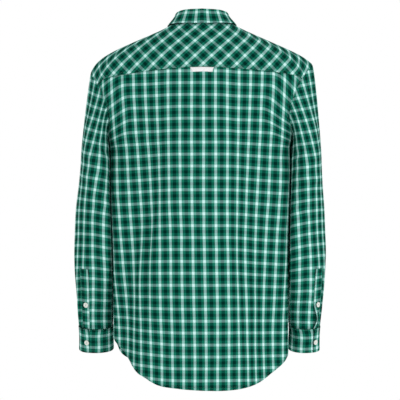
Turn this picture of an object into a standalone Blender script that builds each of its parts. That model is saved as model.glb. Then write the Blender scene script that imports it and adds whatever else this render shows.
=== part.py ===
"""A long-sleeved poplin shirt, filled out as if it were worn.

Frame: +Z up, the front faces -Y, the wearer's left is +X.
The origin is the middle of the neck's base, level with the shoulders' neck points.
All sizes are metres.  Each cut piece is an open surface with a Solidify wall.

The body's outer surface is one function, body(q, v):
  q goes round it: 0 centre back, 1 left side seam, 2 centre front, -1 right side seam;
  v goes up it: -1 below the hem, 0 the underarm level, 1 the neck seam.
The pieces are regions of that surface, so neighbours share the points of their seam.
"""
import math

import bpy
import numpy as np
from mathutils import Vector

# ---------------------------------------------------------------- driving sizes
CLOTH = 0.0012          # wall of a single layer of cloth
BAND = 0.0018           # wall of the collar, the stand and the cuffs
TAPE = 0.0010           # wall of the hanger loop
SEAM = 0.0002           # each piece stops this far from its seam line
CLEAR = 0.0004          # gap between a panel and what lies on it
UNDERARM = -0.270       # height of the underarm level
LOWEST = -0.800         # height of v = -1, below the whole hem
BACK_Y = 0.115          # depth of the back's centre line
SIDE_ARC = 0.264        # cloth from centre back to the side seam
TURN_ARC = 0.055        # cloth in the turn from the back to the side
LAP = 0.017             # each front passes the centre line by this much
SLEEVE_GAP = 0.0014     # air between a sleeve and the side of the body
BESIDE = 0.005          # a sleeve's inner side stays behind the body's edge from here
SWING = 0.003           # both sleeves hang this much towards the wearer's left
BUTTON_R, BUTTON_T = 0.0057, 0.0024

BACK_HALF = 14          # columns in half the back
FRONT_COLUMNS = 11      # columns in a front, before the lap's two
LOW_ROWS = 12           # rows from the hem to the underarm level
ARM_ROWS = 8            # rows up the armhole, back and front
CAP_COLUMNS = 6         # columns over the shoulder's end
SEAM_STEPS = (0, .05, .14, .28, .50, .75, 1.0)   # rows from the seams to the neck


def table(names, *rows):
    """Rows of numbers under named columns."""
    return {name: np.array([row[i] for row in rows], float)
            for i, name in enumerate(names.split())}


# Body sections below the underarm: half width at each side, general lean of the back
# cloth in degrees, and the depth of the centre front.
BODY = table("z width_left width_right lean_left lean_right front_y",
             (-0.800, .1935, .1880, 16, 16, -.1480),
             (-0.650, .1925, .1880, 16, 17, -.1500),
             (-0.500, .1930, .1882, 14, 14, -.1520),
             (-0.380, .1960, .1895, 13, 12, -.1530),
             (-0.270, .1970, .1898, 17, 16, -.1520))

# The two long soft folds down the back: where each lies on the cloth, how wide its
# slope is and how many degrees steeper than its surroundings.
FOLDS = table("z at_left wide_left steep_left at_right wide_right steep_right",
              (-0.800, .172, .045, 40, .132, .055, 28),
              (-0.629, .160, .038, 42, .118, .050, 32),
              (-0.520, .140, .031, 38, .098, .048, 32),
              (-0.372, .100, .028, 31, .085, .036, 29),
              (-0.270, .094, .030, 16, .078, .032, 18))

# Soft folds down the fronts: height of each ripple at the underarm and at the hem.
RIPPLES = table("q wide at_underarm at_hem",
                (1.28, .085, .0005, .0060),
                (1.50, .080, -.0008, -.0065),
                (1.72, .070, .0008, .0045))

# Where the body turns over at the top: the corner that each line up the body bends
# round, and how square the bend is.
CORNER = table("q x y z square_left square_right",
               (0.00, .000, .1150, -.086, 5.0, 5.0),
               (0.35, .096, .1105, -.087, 5.0, 5.0),
               (0.70, .187, .0900, -.0900, 5.4, 5.6),
               (0.88, .2290, .0660, -.0895, 5.8, 6.8),
               (1.00, .2645, .0060, -.0870, 6.6, 9.0),
               (1.10, .2535, -.0380, -.0920, 6.6, 9.0),
               (1.35, .185, -.0900, -.094, 5.0, 5.0),
               (1.65, .100, -.1220, -.105, 3.4, 3.4),
               (2.00, .000, -.1320, -.122, 3.0, 3.0))

NECK = table("q x y left right",
             (0.0, .0000, .0650, .0020, .0020), (0.5, .0467, .0470, .0008, .0015),
             (1.0, .0660, .0040, -.0035, -.0010), (1.5, .0467, -.0395, -.0250, -.0240),
             (1.8, .0204, -.0550, -.0470, -.0470), (2.0, .0000, -.0585, -.0550, -.0550))

STAND_TOP = table("q x y left right",
                  (0.0, .0000, .0545, .0230, .0230), (0.5, .0385, .0392, .0222, .0220),
                  (1.0, .0540, .0030, .0165, .0172), (1.5, .0392, -.0340, .0010, .0010),
                  (1.8, .0172, -.0472, -.0190, -.0190),
                  (2.0, .0000, -.0505, -.0270, -.0270))

# The collar's lower edge: q on the body, distance below the neck seam, height above it.
COLLAR_EDGE = table("c q drop above",
                    (0.00, 0.00, .0085, .0046), (0.25, 0.46, .0085, .0044),
                    (0.50, 0.97, .0080, .0036), (0.70, 1.26, .0130, .0040),
                    (0.86, 1.47, .0290, .0046), (1.00, 1.66, .0500, .0050))

# The armhole, on the body's surface, from the underarm up the back, over and down.
# Each stretch has a table for the left side (1) and one for the right (-1).
ARM_BACK = {1: table("q z", (1.000, -.2700), (.945, -.2625), (.887, -.2500),
                     (.838, -.2340), (.810, -.2140), (.810, -.1920), (.836, -.1690),
                     (.882, -.1480), (.916, -.1310)),
            -1: table("q z", (1.000, -.2700), (.938, -.2610), (.868, -.2480),
                      (.804, -.2340), (.758, -.2170), (.736, -.1980), (.744, -.1770),
                      (.782, -.1530), (.830, -.1360), (.876, -.1205))}
ARM_TOP = {1: table("q z", (.916, -.1310), (.965, -.1130), (1.030, -.1030),
                    (1.100, -.1050)),
           -1: table("q z", (.876, -.1205), (.945, -.0975), (1.020, -.0850),
                     (1.100, -.0960))}
ARM_FRONT = {1: table("q z", (1.100, -.1050), (1.145, -.1280), (1.180, -.1560),
                      (1.190, -.1850), (1.170, -.2150), (1.120, -.2430),
                      (1.055, -.2630), (1.000, -.2700)),
             -1: table("q z", (1.100, -.0960), (1.145, -.1250), (1.180, -.1550),
                       (1.190, -.1850), (1.170, -.2150), (1.120, -.2430),
                       (1.055, -.2630), (1.000, -.2700))}
FRONT_SEAM_NECK = 1.33      # q where the yoke's front seam meets the neck
YOKE_SEAM = table("q left right", (.000, -.1003, -.1003), (.200, -.1025, -.1020),
                  (.450, -.1080, -.1058), (.620, -.1138, -.1092), (.750, -.1180, -.1135),
                  (.876, -.1245, -.1205), (.916, -.1310, -.1260))

# The hem's height round each side of the body.
HEM = table("q left right", (0.00, -.7796, -.7796), (0.19, -.7760, -.7800),
            (0.38, -.7680, -.7760), (0.47, -.7560, -.7720), (0.57, -.7440, -.7640),
            (0.66, -.7260, -.7510), (0.76, -.7020, -.7340), (0.85, -.6860, -.7160),
            (1.00, -.6680, -.6860), (1.14, -.6960, -.7080), (1.28, -.7260, -.7320),
            (1.45, -.7480, -.7500), (1.70, -.7560, -.7560), (2.00, -.7580, -.7580),
            (2.30, -.7580, -.7580))

# Sleeve rings: height and middle depth of each, its inner and outer edge at each side,
# half its depth, how far it recedes outwards, and how far its back edge drops.
SLEEVE = table("z y in_left out_left in_right out_right depth recede drop",
               (-0.300, .001, .1890, .2625, .1880, .2605, .084, .15, .00),
               (-0.345, -.003, .1870, .2669, .1860, .2646, .075, .30, .00),
               (-0.400, -.008, .1830, .2736, .1820, .2710, .062, .45, .02),
               (-0.455, -.013, .1800, .2768, .1785, .2747, .054, .50, .05),
               (-0.494, -.017, .1790, .2782, .1775, .2761, .051, .40, .08),
               (-0.538, -.022, .1800, .2763, .1780, .2737, .049, .20, .10),
               (-0.587, -.028, .1860, .2717, .1820, .2696, .046, .05, .12),
               (-0.635, -.034, .1900, .2687, .1880, .2643, .043, .00, .13),
               (-0.655, -.037, .1915, .2674, .1930, .2624, .041, .00, .14),
               (-0.7075, -.045, .1910, .2668, .1930, .2613, .039, .00, .15))
CUFF_TOP, CUFF_END = -0.6550, -0.7075
CUFF_START = {"left": 71.0, "right": 60.0}      # angle of each cuff's outer end
CAP_STEPS = (0.0, .035, .10, .20, .33, .48, .65, .82, 1.0)
RING_HEIGHTS = (-.330, -.365, -.400, -.435, -.470, -.500, -.527, -.560, -.592, -.625,
                -.6545)
YOKE_CORNER_ANGLE = 38.0    # where the cap's ends come on a sleeve ring, from outside

COLOURS = {"check": (.036, .205, .140, 1), "dark_check": (.030, .170, .118, 1),
           "button": (.72, .72, .68, 1), "tape": (.86, .86, .85, 1)}


# ---------------------------------------------------------------- curves and sections
def smooth(x, xs, ys):
    """A smooth curve through the rows of a table, level outside its ends."""
    xs, ys = np.asarray(xs, float), np.asarray(ys, float)
    if xs[0] > xs[-1]:
        xs, ys = xs[::-1], ys[::-1]
    slope = np.gradient(ys, xs)
    x = np.clip(x, xs[0], xs[-1])
    i = np.clip(np.searchsorted(xs, x) - 1, 0, len(xs) - 2)
    h = xs[i + 1] - xs[i]
    t = (x - xs[i]) / h
    return ((2 * t**3 - 3 * t**2 + 1) * ys[i] + (t**3 - 2 * t**2 + t) * h * slope[i]
            + (3 * t**2 - 2 * t**3) * ys[i + 1] + (t**3 - t**2) * h * slope[i + 1])


def row(rows, key, at, *names):
    """Several columns of a table, read at one place or at many."""
    return [smooth(at, rows[key], rows[name]) for name in names]


def path(rows, count):
    """Evenly spaced points along a table's curve of two columns."""
    a, b = list(rows.values())
    scale = np.array([SIDE_ARC, 1.0])
    run = np.r_[0, np.cumsum(np.hypot(np.diff(a) * scale[0], np.diff(b)))]
    s = np.linspace(0, run[-1], count + 1)
    return smooth(s, run, a), smooth(s, run, b)


def ease(t):
    t = np.clip(t, 0.0, 1.0)
    return t * t * (3 - 2 * t)


def unit(v):
    return v / np.maximum(np.linalg.norm(v, axis=-1, keepdims=True), 1e-12)


def back_section(side, z):
    """Half the back at one height, walked from the centre by the cloth's own angle."""
    s = np.linspace(0, SIDE_ARC, 133)
    width, lean = row(BODY, "z", z, "width_" + side, "lean_" + side)
    at, wide, steep = row(FOLDS, "z", z, "at_" + side, "wide_" + side, "steep_" + side)
    free = np.radians(lean * ease(s / .085) + steep * np.exp(-((s - at) / wide) ** 2)
                      * ease(s / .05))

    def walk(turn):
        edge = ease((s - turn) / TURN_ARC)
        angle = (1 - edge) * free + edge * math.pi / 2
        middle = (angle[1:] + angle[:-1]) / 2
        step = s[1] - s[0]
        return (np.r_[0, np.cumsum(np.cos(middle)) * step],
                BACK_Y - np.r_[0, np.cumsum(np.sin(middle)) * step])

    low, high = .08, SIDE_ARC - TURN_ARC
    for _ in range(24):
        turn = (low + high) / 2
        if walk(turn)[0][-1] > width:
            high = turn
        else:
            low = turn
    return walk((low + high) / 2)


def front_section(side, z, start):
    """Half a front at one height, a rounded quarter with soft ripples."""
    front_y, = row(BODY, "z", z, "front_y")
    a = np.linspace(0, math.pi / 2, 161)
    power = 2 / 2.35
    x = start[0] * np.cos(a).clip(0) ** power
    y = start[1] + (front_y - start[1]) * np.sin(a) ** power
    line = np.stack([x, y], 1)
    run = np.r_[0, np.cumsum(np.linalg.norm(np.diff(line, axis=0), axis=1))]
    q = 1 + run / run[-1]
    along = unit(np.gradient(line, axis=0))
    outward = np.stack([-along[:, 1], along[:, 0]], 1)
    down = np.clip((UNDERARM - z) / .48, 0, 1)
    for at, wide, top, hem in zip(*RIPPLES.values()):
        line = line + outward * ((top + (hem - top) * down)
                                 * np.exp(-((q - at) / wide) ** 2))[:, None]
    return q, line


QS = np.linspace(0, 2, 161)
LOW = np.linspace(-1, 0, 41)
UP = np.linspace(0, 1, 61)


def body_lines(side):
    """The body's surface as a table of points, over QS and over LOW then UP."""
    sign = 1 if side == "left" else -1
    rings = []
    for z in UNDERARM + LOW * (UNDERARM - LOWEST):
        bx, by = back_section(side, z)
        q, line = front_section(side, z, (bx[-1], by[-1]))
        q_all = np.r_[np.linspace(0, 1, 133), q[1:]]
        x = np.interp(QS, q_all, np.r_[bx, line[1:, 0]])
        y = np.interp(QS, q_all, np.r_[by, line[1:, 1]])
        rings.append(np.stack([sign * x, y, np.full_like(x, z)], 1))
    under = rings[-1]
    corner = np.stack(row(CORNER, "q", QS, "x", "y", "z"), 1) * (sign, 1, 1)
    neck = np.stack(row(NECK, "q", QS, "x", "y", side), 1) * (sign, 1, 1)
    power = 2 / row(CORNER, "q", QS, "square_" + side)[0]
    a = np.linspace(0, math.pi / 2, 241)[:, None]
    rise = (np.sin(a) ** power)[..., None]
    reach = (1 - np.cos(a).clip(0) ** power)[..., None]
    lines = under + (corner - under) * rise + (neck - corner) * reach
    step = np.linalg.norm(np.diff(lines, axis=0), axis=2)
    run = np.vstack([np.zeros(len(QS)), np.cumsum(step, 0)])
    upper = np.empty((len(UP), len(QS), 3))
    for k in range(len(QS)):
        for c in range(3):
            upper[:, k, c] = np.interp(UP, run[:, k] / run[-1, k], lines[:, k, c])
    return np.concatenate([np.array(rings), upper[1:]])


LINES = {"left": body_lines("left"), "right": body_lines("right")}


def body(q, v):
    """Points of the body's outer surface."""
    q, v = np.broadcast_arrays(np.asarray(q, float), np.asarray(v, float))
    q = np.where(q > 2, q - 4, np.where(q < -2, q + 4, q))
    fq = np.abs(q) / 2 * (len(QS) - 1)
    fv = np.where(v < 0, (v + 1) * (len(LOW) - 1), len(LOW) - 1 + v * (len(UP) - 1))
    rows_v = len(LOW) + len(UP) - 1
    i = np.clip(fq.astype(int), 0, len(QS) - 2)
    j = np.clip(fv.astype(int), 0, rows_v - 2)
    a, b = (fq - i)[..., None], (fv - j)[..., None]
    out = np.empty(q.shape + (3,))
    for side, mask in (("left", q >= 0), ("right", q < 0)):
        t = LINES[side]
        m = mask[..., None]
        p = ((1 - a) * (1 - b) * t[j, i] + a * (1 - b) * t[j, i + 1]
             + (1 - a) * b * t[j + 1, i] + a * b * t[j + 1, i + 1])
        out = np.where(m, p, out)
    return out


def body_normal(q, v):
    """Directions straight out of the body's surface."""
    e = .01
    v = np.clip(v, -1 + e, 1 - e)
    return unit(np.cross(body(q, v + e) - body(q, v - e), body(q + e, v) - body(q - e, v)))


def v_at(q, z):
    """The v of a height on the line up the body at q."""
    if z <= UNDERARM:
        return (z - UNDERARM) / (UNDERARM - LOWEST)
    return float(np.interp(z, body(np.full(UP.shape, q), UP)[:, 2], UP))


def lap_q(v):
    """How much q the front's lap takes at v."""
    here, beside = body(2.0, v), body(1.98, v)
    return LAP * .02 / np.linalg.norm(here - beside)


def patch(bottom, top, first, last):
    """(q, v) points between four sides that share their corners."""
    bottom, top, first, last = (np.asarray(e, float) for e in (bottom, top, first, last))
    s = np.linspace(0, 1, len(bottom))[None, :, None]
    r = np.linspace(0, 1, len(first))[:, None, None]
    return ((1 - s) * first[:, None] + s * last[:, None] + (1 - r) * bottom[None]
            + r * top[None] - (1 - s) * (1 - r) * bottom[0] - s * (1 - r) * bottom[-1]
            - (1 - s) * r * top[0] - s * r * top[-1])


def arm_edge(rows, sign, count):
    """(q, v) points along one stretch of an armhole."""
    q, z = path(rows[sign], count)
    return np.array([(sign * a, v_at(sign * a, b)) for a, b in zip(q, z)])


def seam_height(q):
    """Height of the yoke's back seam at signed q."""
    left, right = row(YOKE_SEAM, "q", np.abs(q), "left", "right")
    return np.where(q < 0, right, left)


def hem_v(q):
    left, right = row(HEM, "q", np.abs(q), "left", "right")
    return (np.where(q < 0, right, left) - UNDERARM) / (UNDERARM - LOWEST)


# ---------------------------------------------------------------- the pieces' grids
def back_grid():
    q = np.linspace(-1, 1, 2 * BACK_HALF + 1)
    low = [np.stack([q, hem_v(q) * (1 - r)], 1)
           for r in np.linspace(0, 1, LOW_ROWS + 1)[:-1]]
    top_q = q * np.where(q < 0, ARM_BACK[-1]["q"][-1], ARM_BACK[1]["q"][-1])
    top = np.array([(a, v_at(a, z)) for a, z in zip(top_q, seam_height(top_q))])
    high = patch(np.stack([q, 0 * q], 1), top, arm_edge(ARM_BACK, -1, ARM_ROWS),
                 arm_edge(ARM_BACK, 1, ARM_ROWS))
    return np.concatenate([np.array(low), high]), top


def front_grid(sign):
    """One front: rows from the hem to the neck, columns from the side to the lap."""
    def columns(v, start):
        lap = lap_q(v)
        return np.r_[np.linspace(start, 2 - lap, FRONT_COLUMNS + 1), 2, 2 + lap] * sign

    q = columns(0.0, 1.0)
    low = [np.stack([q, hem_v(q) * (1 - r)], 1)
           for r in np.linspace(0, 1, LOW_ROWS + 1)[:-1]]
    arm = arm_edge(ARM_FRONT, sign, ARM_ROWS)[::-1]
    corner = arm[-1]
    r = np.array(SEAM_STEPS)[1:, None]
    end = np.array([sign * FRONT_SEAM_NECK, 1.0])
    first = np.concatenate([arm, corner + (end - corner) * r])
    rise = np.linspace(0, 1, len(first))
    last = np.stack([[sign * (2 + lap_q(v)) for v in rise], rise], 1)
    top_q = columns(1.0, FRONT_SEAM_NECK)
    s = np.linspace(0, 1, len(top_q))[None, :, None]
    grid = patch(np.stack([q, 0 * q], 1), np.stack([top_q, 0 * top_q + 1], 1),
                 first, last)
    for j, v in enumerate(rise):       # the lap's columns keep their width all the way
        own = columns(v, 1.0)
        grid[j, -3:, 0] = own[-3:]
        grid[j, -3:, 1] = v
    return np.concatenate([np.array(low), grid])


def yoke_grid(seam_top):
    """The yoke: columns along its outer edge, rows from there to the neck."""
    inner_q = np.r_[np.linspace(0, .74, BACK_HALF + 1),
                    np.linspace(.74, FRONT_SEAM_NECK, CAP_COLUMNS + 1)[1:]]
    inner = np.stack([inner_q, np.ones_like(inner_q)], 1)
    r = np.array(SEAM_STEPS)[:, None, None]
    halves = {}
    for sign in (1, -1):
        outer = np.concatenate([seam_top[BACK_HALF::sign],
                                arm_edge(ARM_TOP, sign, CAP_COLUMNS)[1:]])
        halves[sign] = outer + (inner * (sign, 1) - outer) * r
    return np.concatenate([halves[-1][:, :0:-1], halves[1]], 1)


def pull_in(points, edges, amount=SEAM):
    """Move a grid's edge rows or columns a little towards its middle."""
    p = points.copy()
    if "low" in edges:
        p[0] += unit(points[1] - points[0]) * amount
    if "high" in edges:
        p[-1] += unit(points[-2] - points[-1]) * amount
    if "first" in edges:
        p[:, 0] += unit(points[:, 1] - points[:, 0]) * amount
    if "last" in edges:
        p[:, -1] += unit(points[:, -2] - points[:, -1]) * amount
    return p


def front_lift(grid):
    """The left front rises over the right one near the centre."""
    across = np.abs(body(2.0, grid[..., 1]) - body(1.98, grid[..., 1]))
    scale = np.linalg.norm(across, axis=-1) / .02
    return (CLOTH + CLEAR) * ease(((grid[..., 0] - 2) * scale + .045) / .025)


# ---------------------------------------------------------------- sleeves
def side_x(side, y, z):
    """Half width of the body at a depth and height below the underarm."""
    fv = np.clip((z - LOWEST) / (UNDERARM - LOWEST), 0, 1) * (len(LOW) - 1)
    j = int(min(fv, len(LOW) - 2))
    ring = LINES[side][j] * (1 - fv + j) + LINES[side][j + 1] * (fv - j)
    part = ring[55:125]
    return np.interp(-y, -part[:, 1], np.abs(part[:, 0]))


def ring_angles():
    """Angle of each sleeve column: 0 outside, 90 at the back, 180 at the underarm."""
    c = YOKE_CORNER_ANGLE
    return np.r_[np.linspace(180, c, ARM_ROWS + 1),
                 np.linspace(c, -c, CAP_COLUMNS + 1)[1:],
                 np.linspace(-c, -180, ARM_ROWS + 1)[1:-1]]


def sleeve_ring(side, z, angles, out=0.0):
    """One ring of a sleeve, kept clear of the body's side."""
    sign = 1 if side == "left" else -1
    y, inner, outer, depth, recede, drop = row(
        SLEEVE, "z", z, "y", "in_" + side, "out_" + side, "depth", "recede", "drop")
    middle = (inner + outer) / 2 + sign * SWING * ease((-.25 - z) / .2)
    a = np.radians(angles)
    px = middle + ((outer - inner) / 2 + out) * np.cos(a)
    py = y + (depth + out) * np.sin(a) - recede * (px - middle)
    pz = z - drop * (py - y)
    near = side_x(side, np.minimum(py, BESIDE), z) + SLEEVE_GAP + .001
    gap = px - near
    px = near + (gap + np.sqrt(gap * gap + .003 ** 2)) / 2
    return np.stack([sign * px, py, pz], 1)


def armhole(side):
    """The armhole's points in the sleeve's column order, and the way into the hole."""
    sign = 1 if side == "left" else -1
    loop = np.concatenate([arm_edge(ARM_BACK, sign, ARM_ROWS)[:-1],
                           arm_edge(ARM_TOP, sign, CAP_COLUMNS)[:-1],
                           arm_edge(ARM_FRONT, sign, ARM_ROWS)[:-1]])
    points = body(loop[:, 0], loop[:, 1])
    normal = body_normal(loop[:, 0], loop[:, 1])
    along = unit(np.roll(points, -1, 0) - np.roll(points, 1, 0))
    into = unit(np.cross(normal, along))
    middle = points.mean(0) - points
    into *= np.sign((into * middle).sum(1))[:, None]
    return points, into, normal


def sleeve_grid(side):
    """Rings of a sleeve from the armhole down to the cuff."""
    angles = ring_angles()
    start, into, _ = armhole(side)
    start = start + into * SEAM
    first = sleeve_ring(side, RING_HEIGHTS[0] + .030, angles)
    chord = np.linalg.norm(first - start, axis=1)[:, None]
    leave = into * np.minimum(.025, .42 * chord)
    arrive = np.array([0, 0, -1.0]) * .92 * chord
    rings = []
    for t in CAP_STEPS:
        rings.append((2 * t**3 - 3 * t**2 + 1) * start + (t**3 - 2 * t**2 + t) * leave
                     + (3 * t**2 - 2 * t**3) * first + (t**3 - t**2) * arrive)
    rings += [sleeve_ring(side, z, angles) for z in RING_HEIGHTS]
    return np.array(rings)


def grid_normals(points, closed=False):
    """Directions out of a grid, from its own points."""
    if closed:
        across = np.roll(points, -1, 1) - np.roll(points, 1, 1)
    else:
        across = np.gradient(points, axis=1)
    return unit(np.cross(np.gradient(points, axis=0), across))


# ---------------------------------------------------------------- objects
def material(name):
    m = bpy.data.materials.get(name) or bpy.data.materials.new(name)
    m.use_nodes = True
    shader = m.node_tree.nodes["Principled BSDF"]
    shader.inputs["Base Color"].default_value = COLOURS[name.split(".")[0]]
    shader.inputs["Roughness"].default_value = .35 if name.startswith("button") else .85
    shader.inputs["Metallic"].default_value = 0
    return m


def loft(name, points, wall, look, closed=False, flip=False):
    """A piece of cloth: a grid of points with a wall on its inner side."""
    rows_n, cols = points.shape[:2]
    faces = []
    for j in range(rows_n - 1):
        for i in range(cols if closed else cols - 1):
            k = (i + 1) % cols
            face = (j * cols + i, (j + 1) * cols + i, (j + 1) * cols + k, j * cols + k)
            faces.append(face[::-1] if flip else face)
    mesh = bpy.data.meshes.new(name)
    mesh.from_pydata([tuple(p) for p in points.reshape(-1, 3)], [], faces)
    mesh.shade_smooth()
    mesh.materials.append(material(look + "." + name))
    thing = bpy.data.objects.new(name, mesh)
    SHIRT.objects.link(thing)
    shell = thing.modifiers.new("wall", "SOLIDIFY")
    shell.thickness = wall
    shell.offset = -1
    return thing


def button(name, point, normal):
    """A flat round button lying on the cloth at a point."""
    bpy.ops.mesh.primitive_cylinder_add(vertices=14, radius=BUTTON_R, depth=BUTTON_T)
    thing = bpy.context.object
    for collection in list(thing.users_collection):
        collection.objects.unlink(thing)
    SHIRT.objects.link(thing)
    thing.name = thing.data.name = name
    thing.location = Vector(point + normal * (CLEAR + BUTTON_T / 2))
    thing.rotation_mode = "QUATERNION"
    thing.rotation_quaternion = Vector(normal).to_track_quat("Z", "Y")
    thing.data.materials.append(material("button." + name))
    rim = thing.modifiers.new("rim", "BEVEL")
    rim.width, rim.segments = .0006, 1
    thing.data.shade_smooth()
    thing.data.set_sharp_from_angle(angle=math.radians(30))


# ---------------------------------------------------------------- collar and stand
def neck_ring(rows, q):
    """Points round the neck for signed q."""
    q = np.where(q > 2, q - 4, np.where(q < -2, q + 4, q))
    x, y, left, right = row(rows, "q", np.abs(q), "x", "y", "left", "right")
    return np.stack([np.sign(q) * x, y, np.where(q < 0, right, left)], -1)


def neck_outward(rows, q):
    """Level directions straight out from a neck ring."""
    ahead = neck_ring(rows, q + .02) - neck_ring(rows, q - .02)
    return unit(np.stack([-ahead[..., 1], ahead[..., 0], 0 * ahead[..., 0]], -1))


def stand_grid():
    """The stand: from the right end under the lap, round the back, to the left end."""
    lap = LAP / .105
    q = np.linspace(-2 - lap, 2 + lap, 33)
    over = ease((q - (2 - 2.6 * lap)) / (1.2 * lap))
    raise_low = ease((q - (2 - 3.4 * lap)) / (1.2 * lap)) * .0032
    out = over * (BAND + CLEAR)
    foot = neck_ring(NECK, q) + neck_outward(NECK, q) * out[:, None]
    foot[:, 2] += .0005 + raise_low
    head = neck_ring(STAND_TOP, q) + neck_outward(STAND_TOP, q) * out[:, None]
    r = np.linspace(0, 1, 4)[:, None, None]
    grid = foot + (head - foot) * r
    grid[1:-1] += neck_outward(NECK, q) * np.array([.0008, .0006])[:, None, None]
    return grid


def collar_grid():
    """The collar: rises from the stand, rolls over and falls to its lower edge."""
    c = np.linspace(-1, 1, 27)
    q = c * 1.955
    top = neck_ring(STAND_TOP, q)
    out = neck_outward(STAND_TOP, q)
    up = np.array([0, 0, 1.0])
    roll = .0031
    rows_out = [top - out * BAND + up * .0010, top - out * BAND + up * .0028]
    for a in (60, 120, 180):
        a = math.radians(a)
        rows_out.append(top + out * (roll - BAND - roll * math.cos(a))
                        + up * (.0028 + roll * math.sin(a)))
    eq, drop, above = row(COLLAR_EDGE, "c", np.abs(c), "q", "drop", "above")
    length = np.array([np.linalg.norm(np.diff(body(np.full(13, a), np.linspace(.7, 1, 13)),
                                              axis=0), axis=1).sum() / .3 for a in eq])
    v = 1 - drop / length
    eq = np.sign(c) * eq
    edge = body(eq, v) + body_normal(eq, v) * above[:, None]
    begin = rows_out[-1]
    chord = np.linalg.norm(edge - begin, axis=1)[:, None]
    leave = unit(out * .35 - up) * chord * .8
    arrive = (edge - begin) * 1.05
    for t in (.22, .5, .76, 1.0):
        rows_out.append((2 * t**3 - 3 * t**2 + 1) * begin + (t**3 - 2 * t**2 + t) * leave
                        + (3 * t**2 - 2 * t**3) * edge + (t**3 - t**2) * arrive)
    return np.array(rows_out)


# ---------------------------------------------------------------- cuffs
def cuff_grid(side):
    """An open band round the wrist whose outer end laps over the other."""
    start = CUFF_START[side]
    end = start - 360 - 34
    angles = np.linspace(start, end, 27)
    turned = (start - angles) / 394
    lift = (BAND + CLEAR) * (1 - ease(turned * 394 / 46 - .35))
    rows_out = []
    for z in np.linspace(CUFF_TOP - .0008, CUFF_END, 4):
        ring = sleeve_ring(side, z, angles, .0008)
        middle = sleeve_ring(side, z, np.array([0., 180.])).mean(0)
        away = unit((ring - middle) * (1, 1, 0))
        rows_out.append(ring + away * lift[:, None])
    return np.array(rows_out)


# ---------------------------------------------------------------- make everything
for old in list(bpy.data.objects):
    bpy.data.objects.remove(old, do_unlink=True)
SHIRT = bpy.data.collections.new("poplin_shirt")
bpy.context.scene.collection.children.link(SHIRT)

back, yoke_line = back_grid()
loft("back", pull_in(body(back[..., 0], back[..., 1]), "high first last"), CLOTH, "check")

yoke = yoke_grid(yoke_line)
loft("yoke", pull_in(body(yoke[..., 0], yoke[..., 1]), "low high first last"),
     CLOTH, "check")

fronts = {}
for side, sign in (("left", 1), ("right", -1)):
    grid = front_grid(sign)
    points = body(grid[..., 0], grid[..., 1])
    lifted = points
    if side == "left":
        lift = front_lift(grid)[..., None]
        lifted = points + body_normal(grid[..., 0], grid[..., 1]) * lift
    loft("front_" + side, pull_in(lifted, "high first"), CLOTH, "check",
         flip=side == "right")
    fronts[side] = grid

band = fronts["left"][:, -3:]
band_normal = body_normal(band[..., 0], band[..., 1])
band_face = body(band[..., 0], band[..., 1]) + band_normal * 2 * (CLOTH + CLEAR)
loft("front_placket", pull_in(band_face, "low high"), CLOTH, "dark_check")

loft("collar_stand", stand_grid(), BAND, "check")
loft("collar", collar_grid(), BAND, "check", flip=True)

for side in ("left", "right"):
    right = side == "right"
    sleeve = sleeve_grid(side)
    loft("sleeve_" + side, sleeve, CLOTH, "check", closed=True, flip=not right)
    normal = grid_normals(sleeve, closed=True) * (1 if right else -1)
    first = ARM_ROWS - (1 if right else 2)      # the placket's three columns
    strip = sleeve[-5:, first:first + 3] + normal[-5:, first:first + 3] * (CLOTH + CLEAR)
    if right:                                   # its free edge gapes above the cuff
        strip[-3:, 0] += normal[-3:, first] * np.array([.0, .005, .004])[:, None]
        strip[-3:, 1] += normal[-3:, first + 1] * np.array([.0, .0022, .002])[:, None]
    loft("sleeve_placket_" + side, strip, CLOTH, "dark_check", flip=not right)
    high, low = strip[2, :2], strip[3, :2]      # the button lies on this facet
    face = (high[0] * .69 + low[0] * .31) * (.70 if right else .5) \
        + (high[1] * .69 + low[1] * .31) * (.30 if right else .5)
    away = unit(np.cross(low.sum(0) - high.sum(0), high[1] + low[1] - high[0] - low[0]))
    away *= np.sign(away @ normal[-3, first])
    button("button_sleeve_" + side, face + away * (-.0002 if right else .0004), away)
    cuff = cuff_grid(side)
    loft("cuff_" + side, cuff, BAND, "check", flip=not right)
    cuff_normal = grid_normals(cuff) * (1 if right else -1)
    place = cuff[1, :2] * .3 + cuff[2, :2] * .7
    away = unit(cuff_normal[1, 0] + cuff_normal[1, 1])
    button("button_cuff_" + side, place[0] * .55 + place[1] * .45 + away * .0004, away)

loop_q = np.linspace(-.098, .098, 7)
seam = seam_height(loop_q)
loop_rows = []
for k, (drop, bulge) in enumerate(((.0004, 0), (.0052, .0012), (.0100, .0002))):
    q = loop_q * (1 - .13 * k / 2)
    v = np.array([v_at(a, z - drop) for a, z in zip(q, seam)])
    away = np.array([0, TAPE + CLEAR + bulge, 0])
    loop_rows.append(body(q, v) + away)
loft("hanger_loop", np.array(loop_rows)[::-1], TAPE, "tape")

rows_down = [.055 + .087 * k for k in range(7)]
line_v = np.linspace(1, -.95, 400)
line = body(np.full(400, 2.0), line_v)
run = np.r_[0, np.cumsum(np.linalg.norm(np.diff(line, axis=0), axis=1))]
for k, distance in enumerate(rows_down):
    v = np.interp(distance, run, line_v)
    n = body_normal(2.0, v)
    button(f"button_front_{k + 1}", body(2.0, v) + n * 2 * (CLOTH + CLEAR), n)

foot, head = neck_ring(NECK, np.array(2.0)), neck_ring(STAND_TOP, np.array(2.0))
n = unit(np.cross(np.array([1.0, 0, 0]), head - foot)) * -1
n = n if n[1] < 0 else -n
button("button_stand", (foot + head) / 2 + np.array([0, 0, .0016]) + n * (BAND + .0016), n)
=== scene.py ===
# %% [markdown]
# # A check poplin shirt, filled out as if worn
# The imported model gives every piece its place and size.  This lesson dresses each solid
# with a thin cloth of the same form, a yarn-dyed check that follows the cut, sewing,
# buttons, and the small folds and puckers that real cotton has.

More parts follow.
